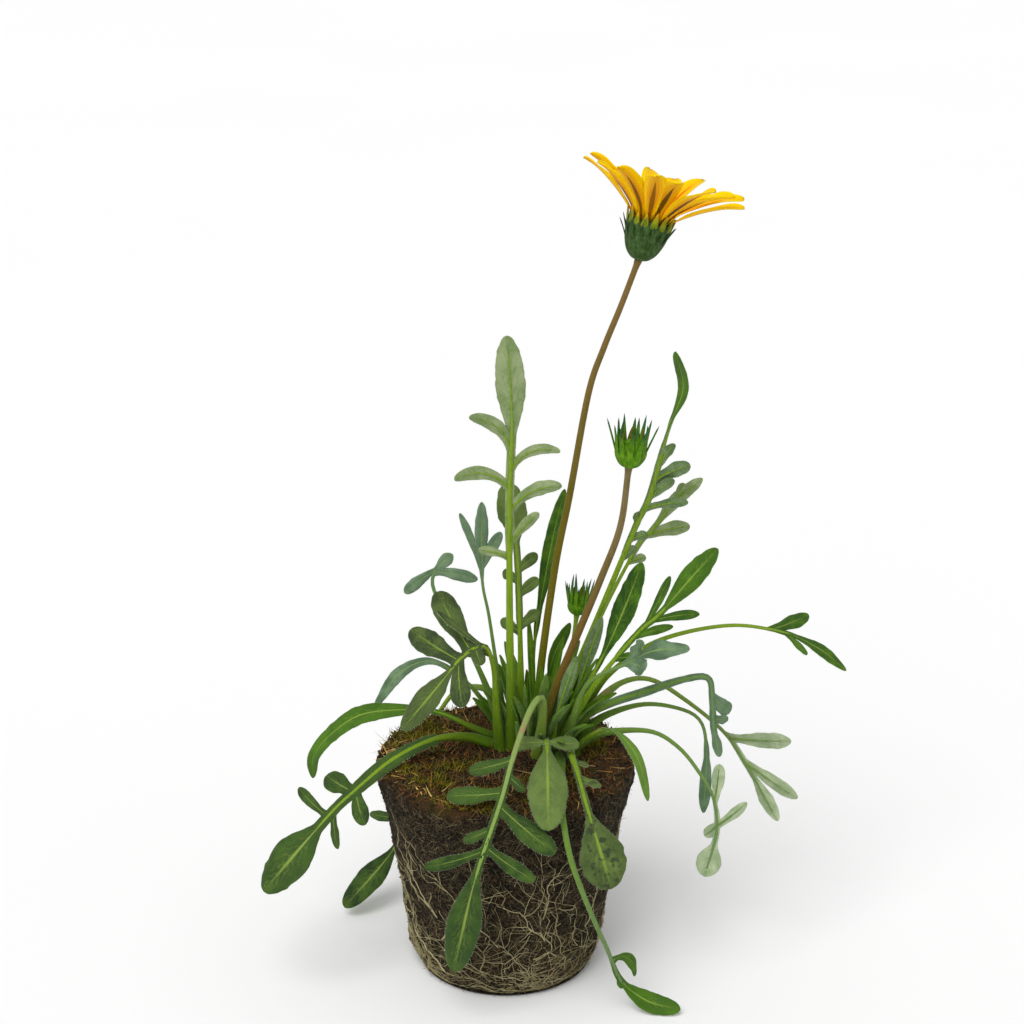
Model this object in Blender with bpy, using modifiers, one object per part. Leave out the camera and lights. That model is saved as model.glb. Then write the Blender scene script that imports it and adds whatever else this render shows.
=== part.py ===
"""A gazania out of its pot, standing on its own root ball: one open flower, two buds and its lobed leaves.

Lengths below are in millimetres and are scaled to metres as each mesh is made.
The origin is the middle of the root ball's underside. +Z is up, and the plant is seen from -Y.
"""

import math
import random

import bmesh
import bpy
from mathutils import Vector, noise

MM = 0.001
MERGE = 0.00002

# Root ball: it filled a 12 cm nursery pot
SOIL_LEVEL = 98.0
BALL_PROFILE = [(56.5, 96.0), (56.6, 90.0), (54.8, 84.0), (52.0, 74.0), (48.2, 51.0), (45.0, 27.0), (42.5, 10.0),
                (40.0, 3.5), (36.5, 0.0)]
BALL_STEPS = 54
SOIL_RELIEF = 1.1
ROOT_RELIEF = 0.9
ROOT_LINES = 15
GAP = 0.35

# Crown: the short stock at soil level that every leaf and flower stalk grows from
CROWN_CENTRE = Vector((14.5, 7.5, 0.0))
CROWN_RADIUS = 22.5
CROWN_FOOT = 91.0
CROWN_EDGE = 98.5
CROWN_TOP = 100.5
SEAT_FLOOR = 94.5
SEAT_CLEARANCE = 0.55

LEAF_THICKNESS = 0.8
STATION_REACH = 34.0
STATION_TURN = math.radians(17)
LOBE_STEPS = 4
BLADE_STEPS = 6

UPPER_GREEN = (0.13, 0.22, 0.09)
FELT_GREEN = (0.36, 0.43, 0.30)
OLIVE_GREEN = (0.15, 0.20, 0.10)
STALK_BROWN = (0.33, 0.24, 0.07)
CUP_GREEN = (0.12, 0.22, 0.13)
BUD_GREEN = (0.16, 0.33, 0.04)
RAY_YELLOW = (0.90, 0.52, 0.02)
DISC_ORANGE = (0.60, 0.25, 0.02)
PEAT_BROWN = (0.09, 0.05, 0.03)
CROWN_TAN = (0.22, 0.20, 0.07)


class Leaf:
    """One leaf: where it sits on the crown, the way its rib runs, which way its upper face looks, and its lobes."""

    def __init__(self, seat, route, face, blade, stalk=1.5, lobes=(), curl=-25.0, wing=None, colour=UPPER_GREEN,
                 tip_face=None):
        self.seat = seat
        self.route = route
        self.face = Vector(face).normalized()
        self.tip_face = Vector(tip_face or face).normalized()
        self.blade_from, self.blade_width = blade
        self.stalk = stalk
        self.lobes = lobes
        self.curl = curl
        self.wing = wing
        self.colour = colour


# A route's points are (x, y, z). A blade is (where it starts along the rib, width).
# A lobe is (where along the rib, side, length, width, angle from the rib), and its side is +1 or -1.
# A sixth number arches it: the degrees it turns from foot to tip.
LEAVES = {
    "leaf_tall": Leaf(
        (3.0, 1.5), [(2.5, 0, 130), (2, -2, 164), (2, -6, 222), (3, -12, 259), (1, -18, 296)],
        (0.0, 1.0, 0.25), (0.73, 12.5), stalk=1.9, colour=FELT_GREEN, curl=-12.0,
        lobes=[(0.72, 1, 30, 6.5, 38, 85), (0.678, -1, 28, 5, 52, 100), (0.645, 1, 27, 6.5, 72, 95),
               (0.595, -1, 27, 6.5, 56, 60), (0.52, -1, 20, 5, 38), (0.49, 1, 14, 4.5, 72)],
    ),
    "leaf_rear_upright": Leaf(
        (7.0, 11.0), [(7, 13, 120), (6.5, 16, 150), (5, 18, 190), (1, 20, 219)],
        (0.0, -1.0, 0.2), (0.75, 13), stalk=1.5, colour=OLIVE_GREEN,
        lobes=[(0.68, 1, 11, 5.5, 55), (0.59, 1, 11, 5.5, 55), (0.47, 1, 11, 5.5, 55),
               (0.64, -1, 8, 5, 60), (0.45, -1, 10, 5.5, 60)],
    ),
    "leaf_slender": Leaf(
        (0.5, 14.0), [(-2.5, 14, 125), (-7, 13, 159), (-10, 12, 178), (-10, 9, 214)],
        (0.1, -1.0, 0.2), (0.70, 6), stalk=1.1, curl=-12.0,
        lobes=[(0.72, -1, 29, 3.5, 16), (0.74, 1, 18, 5.5, 30)],
    ),
    "leaf_lance_rear": Leaf(
        (11.5, 19.5), [(12, 22, 125), (14, 25, 150), (21, 27, 191), (26, 28, 213)],
        (-0.2, -1.0, 0.2), (0.42, 7), stalk=1.2,
    ),
    "leaf_left_arch": Leaf(
        (-2.5, 0.0), [(-4, -2, 122), (-5, -4, 142), (-9, -8, 154), (-18, -14, 152), (-29, -22, 141), (-44, -28, 124)],
        (-0.3, -0.65, 0.7), (0.66, 12), stalk=1.6, colour=OLIVE_GREEN, curl=-10.0,
        lobes=[(0.60, 1, 38, 12, 104), (0.66, 1, 30, 11.5, 88), (0.545, 1, 25, 4.5, 42, 20),
               (0.66, -1, 22, 9, 46), (0.58, -1, 9, 6, 75), (0.50, -1, 11, 6, 75)],
    ),
    "leaf_left_pale": Leaf(
        (0.0, 8.0), [(-4, 9, 114), (-10, 13, 130), (-20, 20, 149), (-31, 26, 165), (-31, 26, 175), (-23, 24, 184)],
        (-0.1, -0.8, 0.5), (0.88, 6), stalk=1.4, colour=FELT_GREEN, curl=-10.0,
        lobes=[(0.89, -1, 21, 5.5, 160, 12), (0.885, 1, 20, 6, 66, 15)],
    ),
    "leaf_right_tall": Leaf(
        (20.5, 14.0), [(27, 15, 122), (40, 16, 156), (56, 20, 197), (63, 22, 213), (70, 25, 241), (76.5, 27, 259),
                       (72.5, 26, 276)],
        (-0.3, 0.9, 0.3), (0.80, 8), stalk=1.7, colour=FELT_GREEN, tip_face=(-0.8, -0.6, 0.15),
        lobes=[(0.69, -1, 17, 7.5, 54), (0.62, -1, 20, 5, 58), (0.72, -1, 13, 5.5, 16), (0.645, -1, 14, 6, 30),
               (0.585, 1, 6, 3.5, 40), (0.49, -1, 9, 5, 20), (0.545, -1, 8, 4.5, 60)],
    ),
    "leaf_right_felt": Leaf(
        (24.5, 23.0), [(31, 26, 122), (42, 30, 151), (58, 36, 182), (65, 38, 190), (75, 40, 203), (87, 42, 213)],
        (0.2, 0.9, 0.3), (0.76, 7), stalk=1.3, colour=FELT_GREEN,
        lobes=[(0.74, -1, 20, 7, 26), (0.64, -1, 8, 4, 45), (0.90, 1, 8, 4, 35)],
    ),
    "leaf_right_dark": Leaf(
        (21.0, 8.5), [(27, 5, 115), (35, 3, 130), (43, 2, 146), (52, 3, 168), (59, 4, 188)],
        (-0.5, -0.8, 0.3), (0.48, 11), stalk=1.4,
    ),
    "leaf_right_fan": Leaf(
        (21.0, 3.0), [(30, 0, 117), (42, -4, 139), (58, -7, 161), (66, -8, 169), (79, -9, 186), (90, -10, 200)],
        (-0.4, -0.7, 0.6), (0.67, 11), stalk=1.5, curl=-8.0,
        lobes=[(0.63, -1, 24, 4.5, 27), (0.66, 1, 22, 4.5, 26), (0.57, 1, 20, 4, 28), (0.47, 1, 14, 5, 42)],
    ),
    "leaf_right_folded": Leaf(
        (26.0, 0.0), [(29, -6, 118), (36, -12, 139), (53, -20, 152), (63, -24, 159), (78, -26, 161)],
        (-0.3, -0.5, 0.8), (0.70, 9), stalk=1.4, colour=FELT_GREEN, curl=15.0,
        lobes=[(0.70, -1, 12, 7, 38), (0.71, 1, 13, 8, 40)],
    ),
    "leaf_far_right": Leaf(
        (29.0, 20.0), [(37, 20, 115), (47, 21, 129), (68, 24, 143), (99, 27, 149), (124, 28, 145), (140, 28, 137),
                       (152.5, 27, 127)],
        (0.1, -0.4, 0.9), (0.77, 7), stalk=1.4, curl=5.0,
        lobes=[(0.745, -1, 22, 7.5, 38), (0.79, 1, 14, 4, 45)],
    ),
    "leaf_hanging_kinked": Leaf(
        (26.5, 6.0), [(32, 5, 112), (46, 3, 122), (61, 0, 129), (78, -2, 136), (88, -3, 137), (90, -4, 128),
                      (91, -5, 114), (94, -7, 101)],
        (0.3, -0.8, 0.5), (0.88, 5), stalk=1.3, colour=FELT_GREEN, wing=(0.25, 0.70, 4.0),
        lobes=[(0.76, -1, 15, 7, 42), (0.85, -1, 9, 4, 74)],
    ),
    "leaf_hanging_wide": Leaf(
        (32.0, 15.0), [(39, 16, 115), (51, 18, 125), (64, 18, 127), (79, 15, 119), (97, 10, 105), (108, 4, 90),
                       (121, -4, 68)],
        (0.2, 0.9, 0.3), (0.80, 7), stalk=1.4, colour=FELT_GREEN, curl=-8.0,
        lobes=[(0.69, 1, 31, 8, 58), (0.78, 1, 29, 7, 31)],
    ),
    "leaf_hanging_strap": Leaf(
        (33.0, 9.5), [(42, 9, 112), (59, 8, 119), (74, 8, 118), (85.5, 6, 113), (88.5, -1, 102), (87.5, -8, 74)],
        (0.3, -0.9, 0.3), (0.70, 6), stalk=1.3, colour=FELT_GREEN,
    ),
    "leaf_hanging_low": Leaf(
        (33.0, 4.0), [(44, -1, 110), (63, -8, 114), (75, -13, 109), (84, -17, 99), (90.5, -21, 88), (92, -24, 73),
                      (87, -27, 53)],
        (0.3, 0.9, 0.2), (0.85, 11), stalk=1.2, colour=FELT_GREEN, curl=10.0,
        lobes=[(0.71, 1, 17, 6, 158), (0.80, 1, 17, 4.5, 132), (0.80, -1, 8, 5, 45)],
    ),
    "leaf_right_strap": Leaf(
        (31.5, -1.0), [(38, -8, 112), (45, -16, 119), (51, -24, 118), (57, -32, 111), (61, -39, 96)],
        (0.6, -0.5, 0.6), (0.35, 6.5), stalk=1.3,
    ),
    "leaf_front_left": Leaf(
        (13.5, -8.0), [(16, -10, 118), (16, -13, 132), (11, -20, 130), (4, -36, 117), (-1, -50, 104),
                       (-7, -64, 91), (-11, -67, 79), (-15, -65, 62), (-22, -61, 26)],
        (-0.1, -0.9, 0.4), (0.66, 14.5), stalk=2.0, curl=-6.0,
        lobes=[(0.41, 1, 19, 6.5, 60), (0.495, 1, 24, 8, 72), (0.59, 1, 13, 4.5, 48), (0.645, 1, 27, 5.5, 54),
               (0.45, -1, 10, 4, 60), (0.53, -1, 31, 10, 66), (0.635, -1, 25, 6.5, 74)],
    ),
    "leaf_front_round": Leaf(
        (18.5, -9.5), [(18, -15, 112), (18, -26, 116), (18, -42, 112), (18, -58, 102), (18, -64, 95)],
        (0.0, -0.75, 0.65), (0.40, 17), stalk=1.5, colour=OLIVE_GREEN, curl=-8.0,
        lobes=[(0.36, 1, 14, 6.5, 95), (0.36, -1, 14, 7, 85)],
    ),
    "leaf_front_mottled": Leaf(
        (28.0, -5.5), [(28.5, -14, 108), (29, -26, 110), (31, -38, 108), (34, -50, 101), (37, -57, 93),
                       (45, -61, 66)],
        (0.2, -0.9, 0.35), (0.62, 20), stalk=1.5, colour=OLIVE_GREEN, curl=-5.0,
        lobes=[(0.46, -1, 10, 4, 60), (0.34, -1, 7, 4, 70)],
    ),
    "leaf_front_long": Leaf(
        (23.5, -8.5), [(24, -16, 105), (24, -34, 104.5), (24, -52, 99), (27, -63, 84), (32, -64, 68),
                       (38, -62, 51), (44, -57, 34), (50, -50, 15), (62, -50, 4.5), (76, -54, 2.8)],
        (0.3, -0.7, 0.6), (0.81, 9.5), stalk=1.3, curl=20.0,
        lobes=[(0.75, -1, 21, 5, 28, -125), (0.80, 1, 8, 3.5, 10)],
    ),
    "leaf_left_strap": Leaf(
        (-4.5, 4.0), [(-17, 3, 106), (-31, -4, 108), (-49, -14, 103), (-66, -24, 92), (-77, -30, 83),
                      (-104, -42, 54)],
        (-0.3, -0.5, 0.8), (0.69, 21.5), stalk=1.5, curl=-8.0, wing=(0.25, 0.72, 6.5),
        lobes=[(0.58, 1, 18, 10, 80), (0.57, -1, 18, 7.5, 64), (0.69, 1, 24, 5, 88), (0.665, -1, 18, 4, 55)],
    ),
    "leaf_left_over": Leaf(
        (-4.5, 12.0), [(-15, 15, 105), (-28, 18, 110), (-40, 20, 111), (-63, 22, 108), (-77, 22, 99),
                       (-86, 21, 88), (-87, 20, 77)],
        (-0.3, -0.4, 0.8), (0.2, 8), stalk=1.2,
    ),
    "leaf_left_rear": Leaf(
        (-2.5, 18.5), [(-9, 22, 113), (-20, 29, 123), (-34, 35, 128), (-48, 39, 120), (-60, 41, 102)],
        (-0.2, -0.6, 0.8), (0.42, 7), stalk=1.2, colour=FELT_GREEN,
    ),
    "leaf_rear_hanging": Leaf(
        (3.0, 22.5), [(-4, 31, 112), (-12, 42, 112), (-24, 60, 101), (-36, 64, 78), (-44, 60, 49),
                      (-52, 50, 26), (-75, 30, 5)],
        (-0.3, -0.6, 0.75), (0.77, 14), stalk=1.4,
        lobes=[(0.715, 1, 23, 5, 80)],
    ),
    "leaf_young_pale": Leaf(
        (26.0, 11.5), [(30, 8, 115), (34, 6, 135), (42, 6, 162)],
        (0.0, 1.0, 0.2), (0.45, 6), stalk=1.1, colour=FELT_GREEN,
    ),
    "leaf_young_small": Leaf(
        (20.5, -3.5), [(22, -5, 115), (25, -8, 131), (31, -9, 150)],
        (0.0, 1.0, 0.2), (0.42, 5), stalk=1.0, colour=FELT_GREEN,
    ),
    "leaf_young_dark": Leaf(
        (19.5, 25.5), [(19, 28, 112), (21, 31, 130), (29, 32, 148)],
        (-0.2, -1.0, 0.2), (0.42, 5.5), stalk=1.0,
    ),
}

# Stalks: seat on the crown, route, radius at foot and head
STALKS = {
    "flower_stalk": ((15.0, 12.5), [(15, 13, 127), (21.5, 15, 180), (27.8, 17, 214), (35.5, 20, 259), (41.8, 21, 279),
                                    (48.8, 22, 297), (55.8, 24, 316)], 1.8, 1.25),
    "bud_stalk": ((15.5, -1.0), [(20, -1, 125), (29, 0, 150), (41, 0, 182), (49, -2, 207), (52, -4, 234)],
                  2.0, 1.3),
    "small_bud_stalk": ((24.0, 17.5), [(26, 19, 118), (29.5, 22, 138), (31.5, 22.5, 155.5)], 1.2, 0.9),
}

# Flower head, in its own frame: it stands on its stalk and looks along its own +Z
HEAD_TILT_RIGHT = math.radians(17)
HEAD_TILT_BACK = math.radians(10)
CUP_PROFILE = [(1.6, 0.0), (4.4, 0.7), (7.2, 3.4), (8.7, 7.6), (9.4, 12.0), (9.7, 15.8)]
CUP_WALL = 0.9
CUP_FLOOR = 6.0
CUP_STEPS = 16
CUP_TEETH = 15
TOOTH_LENGTH = 9.0
TOOTH_WIDTH = 1.7
RAY_COUNT = 16
RAY_WIDTH = 10.4
RAY_THICKNESS = 0.75
RAY_STEPS = 5
RAY_LINE = [(6.4, 12.6), (7.3, 17.2), (10.9, 21.8), (17.2, 26.9), (23.5, 31.0), (29.5, 34.0), (35.0, 35.8)]
RAY_SETTLED = 0.30
DISC_RADIUS = 5.2
DISC_TOP = 15.5
FLORET_RINGS = 3

BUDS = {
    "bud": (13.2, 6.6, 13.5, "bud_stalk"),
    "small_bud": (9.0, 4.6, 10.5, "small_bud_stalk"),
}
BUD_TEETH = 10


def clear_scene():
    """Removes whatever the scene starts with."""
    for item in list(bpy.data.objects):
        bpy.data.objects.remove(item, do_unlink=True)


def new_collection(name):
    """A collection linked to the scene."""
    made = bpy.data.collections.new(name)
    bpy.context.scene.collection.children.link(made)
    return made


def finish(name, colour, roughness=0.7):
    """A Principled material, made once for each name."""
    made = bpy.data.materials.get(name)
    if made is None:
        made = bpy.data.materials.new(name)
        made.use_nodes = True
        shader = made.node_tree.nodes["Principled BSDF"]
        shader.inputs["Base Color"].default_value = (*colour, 1.0)
        shader.inputs["Roughness"].default_value = roughness
        shader.inputs["Metallic"].default_value = 0.0
    return made


def add_object(name, mesh, collection, material=None):
    """An object of this mesh in a collection."""
    item = bpy.data.objects.new(name, mesh)
    collection.objects.link(item)
    if material is not None:
        mesh.materials.clear()
        mesh.materials.append(material)
    return item


def mesh_of(bm, name):
    """A mesh in metres from a bmesh in millimetres."""
    bmesh.ops.scale(bm, vec=(MM, MM, MM), verts=bm.verts)
    mesh = bpy.data.meshes.new(name)
    bm.to_mesh(mesh)
    bm.free()
    return mesh


def smooth_step(value):
    """0 below 0, 1 above 1, and a soft rise between."""
    t = min(1.0, max(0.0, value))
    return t * t * (3.0 - 2.0 * t)


def spline_through(points, count):
    """Evenly spaced points on a smooth curve through the given ones."""
    knots = [points[0] * 2 - points[1], *points, points[-1] * 2 - points[-2]]
    fine = []
    pieces = 12
    for i in range(len(points) - 1):
        a, b, c, d = knots[i:i + 4]
        for k in range(pieces):
            t = k / pieces
            fine.append(0.5 * (2 * b + (c - a) * t + (2 * a - 5 * b + 4 * c - d) * t * t
                               + (3 * b - a - 3 * c + d) * t * t * t))
    fine.append(points[-1])
    return resampled(fine, count)


def resampled(points, count):
    """Points spaced evenly along a polyline."""
    run = [0.0]
    for a, b in zip(points, points[1:]):
        run.append(run[-1] + (b - a).length)
    made = []
    i = 0
    for k in range(count):
        want = run[-1] * k / (count - 1)
        while i < len(run) - 2 and run[i + 1] < want:
            i += 1
        share = (want - run[i]) / max(run[i + 1] - run[i], 1e-9)
        made.append(points[i].lerp(points[i + 1], min(1.0, share)))
    return made


class Rib:
    """A leaf's rib or a stalk: it stands straight in its seat, then follows its route."""

    def __init__(self, seat, route, face=Vector((0.0, -1.0, 0.0)), tip_face=None, samples=121):
        foot = Vector((*seat, SEAT_FLOOR + GAP))
        neck = Vector((*seat, CROWN_TOP + 1.2))
        bend = spline_through([neck, *[Vector(p) for p in route]], samples)
        self.points = resampled([foot, *bend], samples)
        self.face = face
        self.tip_face = tip_face or face
        self.length = sum((b - a).length for a, b in zip(self.points, self.points[1:]))

    def stations(self, end):
        """Shares of the length, as far as end, that keep a drawn tube true to every bend."""
        made = [0.0, (CROWN_TOP + 1.2 - self.points[0].z) / self.length]
        last = self.frame(made[1])[0]
        steps = len(self.points) - 1
        for k in range(1, steps):
            share = k / steps
            if share <= made[1] + 4.0 / self.length or share > end - 4.0 / self.length:
                continue
            along = self.frame(share)[0]
            far = (share - made[-1]) * self.length > STATION_REACH
            if far or along.angle(last) > STATION_TURN and (share - made[-1]) * self.length > 3.0:
                made.append(share)
                last = along
        return [*made, end]

    def at(self, share):
        """The point at this share of the length."""
        place = min(1.0, max(0.0, share)) * (len(self.points) - 1)
        i = min(int(place), len(self.points) - 2)
        return self.points[i].lerp(self.points[i + 1], place - i)

    def frame(self, share):
        """The way the rib runs there, the leaf's sideways direction and the way its upper face looks."""
        along = (self.at(share + 0.012) - self.at(share - 0.012)).normalized()
        face = self.face.lerp(self.tip_face, smooth_step((share - 0.70) / 0.2))
        up = (face - along * face.dot(along)).normalized()
        return along, along.cross(up), up


def tube(name, points, radii, sides_setting, collection):
    """A mesh tube along points: a bevelled curve turned into a mesh, with its caps welded on."""
    curve = bpy.data.curves.new(name, "CURVE")
    curve.dimensions = "3D"
    curve.bevel_depth = MM
    curve.bevel_resolution = sides_setting
    curve.use_fill_caps = True
    spline = curve.splines.new("POLY")
    spline.points.add(len(points) - 1)
    for knot, point, radius in zip(spline.points, points, radii):
        knot.co = (*(point * MM), 1.0)
        knot.radius = radius
    guide = bpy.data.objects.new(name + "_guide", curve)
    collection.objects.link(guide)
    bpy.context.view_layer.update()
    graph = bpy.context.evaluated_depsgraph_get()
    mesh = bpy.data.meshes.new_from_object(guide.evaluated_get(graph))
    bm = bmesh.new()
    bm.from_mesh(mesh)
    bmesh.ops.remove_doubles(bm, verts=bm.verts, dist=MERGE)
    bmesh.ops.recalc_face_normals(bm, faces=bm.faces)
    bm.to_mesh(mesh)
    bm.free()
    item = bpy.data.objects.new(name, mesh)
    item.matrix_world = guide.matrix_world
    collection.objects.link(item)
    bpy.data.objects.remove(guide, do_unlink=True)
    return item


def sheet(name, rows, across, place, thickness, collection):
    """A thin closed blade: a grid laid out by place(u, v), u from foot to tip and v from -1 to 1, then thickened."""
    bm = bmesh.new()
    bmesh.ops.create_grid(bm, x_segments=rows, y_segments=across, size=1.0)
    for vert in bm.verts:
        vert.co = place((vert.co.x + 1.0) / 2.0, vert.co.y)
    bmesh.ops.triangulate(bm, faces=bm.faces)
    item = add_object(name, mesh_of(bm, name), collection)
    solid = item.modifiers.new("thickness", "SOLIDIFY")
    solid.thickness = thickness * MM
    solid.offset = 0.0
    return applied(item)


def applied(item):
    """The object with its modifiers made part of its mesh."""
    bpy.context.view_layer.update()
    graph = bpy.context.evaluated_depsgraph_get()
    mesh = bpy.data.meshes.new_from_object(item.evaluated_get(graph))
    item.modifiers.clear()
    item.data = mesh
    return item


def joined(base, pieces, solver="MANIFOLD"):
    """The base fused with every object of a collection, which are then removed."""
    union = base.modifiers.new("fused", "BOOLEAN")
    union.operation = "UNION"
    union.operand_type = "COLLECTION"
    union.collection = pieces
    union.solver = solver
    applied(base)
    for item in list(pieces.objects):
        bpy.data.objects.remove(item, do_unlink=True)
    bpy.data.collections.remove(pieces)
    return base


def spoon(u, neck, widest):
    """Half-width share of a lobe or blade: a neck, a swell to its widest place, and a rounded tip."""
    if u < widest:
        return neck + (1.0 - neck) * smooth_step(u / widest)
    fall = (u - widest) / (1.0 - widest)
    return max(0.16, math.sqrt(max(0.0, 1.0 - fall ** 2.4)))


def lobe(leaf, rib, spec, index, collection):
    """One side lobe: it leaves the rib at an angle and curls across its own length."""
    where, side, length, width, angle, arch = (*spec, 12)[:6]
    along, across, up = rib.frame(where)
    centre = [rib.at(where)]
    headings = []
    pieces = 24
    for k in range(pieces):
        u = (k + 0.5) / pieces
        turn = math.radians(angle + arch * (u - 0.45))
        flat = along * math.cos(turn) + across * side * math.sin(turn)
        dip = math.radians(leaf.curl) * u
        heading = flat * math.cos(dip) + up * math.sin(dip)
        headings.append(heading.normalized())
        centre.append(centre[-1] + heading * (length / pieces))

    def place(u, v):
        k = min(int(u * pieces), pieces - 1)
        point = centre[k].lerp(centre[k + 1], u * pieces - k)
        normal = (up - headings[k] * up.dot(headings[k])).normalized()
        sideways = headings[k].cross(normal)
        return point + sideways * (v * width / 2.0 * spoon(u, 0.42, 0.66))

    return sheet(f"lobe_{index}", LOBE_STEPS, 1, place, LEAF_THICKNESS, collection)


def blade(leaf, rib, collection):
    """The lobe at the leaf's end, folded a little along its rib."""
    start = leaf.blade_from
    fold = 0.16

    def place(u, v):
        share = start + (1.0 - start) * u
        along, across, up = rib.frame(share)
        half = leaf.blade_width / 2.0 * spoon(u, 0.12, 0.60)
        lift = fold * half * abs(v)
        return rib.at(share) + across * (v * half) + up * lift

    return sheet("blade", BLADE_STEPS, 2, place, LEAF_THICKNESS, collection)


def wing(leaf, rib, collection):
    """The narrow green margin that runs down some leaf stalks."""
    start, end, width = leaf.wing

    def place(u, v):
        share = start + (end - start) * u
        along, across, up = rib.frame(share)
        half = width / 2.0 * (0.45 + 0.55 * math.sin(math.pi * min(1.0, u + 0.25) / 1.25))
        return rib.at(share) + across * (v * half) + up * 0.2

    return sheet("wing", BLADE_STEPS, 1, place, LEAF_THICKNESS, collection)


def build_leaf(name, leaf, plant):
    """One leaf as one solid: stalk, rib, side lobes and end lobe."""
    rib = Rib(leaf.seat, leaf.route, leaf.face, leaf.tip_face)
    rib_end = leaf.blade_from + 0.30 * (1.0 - leaf.blade_from)
    shares = rib.stations(rib_end)
    radii = [leaf.stalk * (1.0 - 0.52 * smooth_step(s / rib_end)) for s in shares]
    stalk = tube(name, [rib.at(s) for s in shares], radii, 0, plant)
    pieces = new_collection(name + "_pieces")
    blade(leaf, rib, pieces)
    if leaf.wing:
        wing(leaf, rib, pieces)
    for i, spec in enumerate(leaf.lobes):
        lobe(leaf, rib, spec, i, pieces)
    made = joined(stalk, pieces)
    made.data.materials.clear()
    made.data.materials.append(finish(name + "_finish", leaf.colour))
    return made


def build_stalk(name, plant):
    """A flower or bud stalk: round, and a little thinner towards its head."""
    seat, route, foot_radius, head_radius = STALKS[name]
    rib = Rib(seat, route)
    shares = rib.stations(1.0)
    radii = [foot_radius + (head_radius - foot_radius) * s for s in shares]
    made = tube(name, [rib.at(s) for s in shares], radii, 1, plant)
    made.data.materials.clear()
    made.data.materials.append(finish("stalk_brown", STALK_BROWN, 0.6))
    return made, rib


def turned(name, profile, steps, collection):
    """A closed turned solid from a profile of (radius, height) that starts and ends on the axis."""
    bm = bmesh.new()
    verts = [bm.verts.new((radius, 0.0, height)) for radius, height in profile]
    edges = [bm.edges.new(pair) for pair in zip(verts, verts[1:])]
    bmesh.ops.spin(bm, geom=verts + edges, cent=(0, 0, 0), axis=(0, 0, 1), angle=2 * math.pi,
                   steps=steps, use_duplicate=False)
    bmesh.ops.remove_doubles(bm, verts=bm.verts, dist=0.001)
    bmesh.ops.recalc_face_normals(bm, faces=bm.faces)
    return add_object(name, mesh_of(bm, name), collection)


def spike(name, foot, tip, width, thickness, outward, collection):
    """A slim pointed tooth: a three-sided cone from foot to tip, flattened against what it grows from."""
    bm = bmesh.new()
    bmesh.ops.create_cone(bm, cap_ends=True, segments=3, radius1=1.15, radius2=0.2, depth=1.0)
    axis = tip - foot
    along = axis.normalized()
    side = outward.cross(along).normalized()
    flat = along.cross(side).normalized()
    for vert in bm.verts:
        u = vert.co.z + 0.5
        vert.co = foot + axis * u + side * (vert.co.x * width / 2.0) + flat * (vert.co.y * thickness / 2.0)
    bm.normal_update()
    bmesh.ops.recalc_face_normals(bm, faces=bm.faces)
    return add_object(name, mesh_of(bm, name), collection)


def profile_radius(profile, height):
    """The radius of a rising profile at this height."""
    for (r0, z0), (r1, z1) in zip(profile, profile[1:]):
        if z0 <= height <= z1:
            return r0 + (r1 - r0) * (height - z0) / (z1 - z0)
    return profile[-1][0]


def ring_direction(turn):
    """A level direction at this angle."""
    return Vector((math.cos(turn), math.sin(turn), 0.0))


def build_cup(plant):
    """The green cup under the rays: bracts fused for most of their length, with two rows of free teeth."""
    inner = [(radius - CUP_WALL, height) for radius, height in CUP_PROFILE if height > CUP_FLOOR]
    profile = [(0.0, 0.0), *CUP_PROFILE, *reversed(inner), (6.8, CUP_FLOOR), (0.0, CUP_FLOOR)]
    cup = turned("flower_cup", profile, CUP_STEPS, plant)
    teeth = new_collection("cup_teeth")
    for i in range(CUP_TEETH):
        out = ring_direction(2 * math.pi * i / CUP_TEETH)
        low = i % 2 == 0
        height = 8.5 if low else 11.5
        lean = math.radians(33 if low else 24)
        foot = out * (profile_radius(CUP_PROFILE, height) - 0.5) + Vector((0, 0, height))
        reach = TOOTH_LENGTH * (1.0 if low else 0.55)
        tip = foot + (out * math.sin(lean) + Vector((0, 0, math.cos(lean)))) * reach
        spike(f"tooth_{i}", foot, tip, TOOTH_WIDTH, 1.2, out, teeth)
    joined(cup, teeth)
    cup.data.materials.append(finish("cup_green", CUP_GREEN, 0.65))
    return cup


def ray_line():
    """Points down the middle of a ray: x is the distance from the head's axis and z the height."""
    return spline_through([Vector((radius, 0.0, height)) for radius, height in RAY_LINE], 41)


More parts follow.
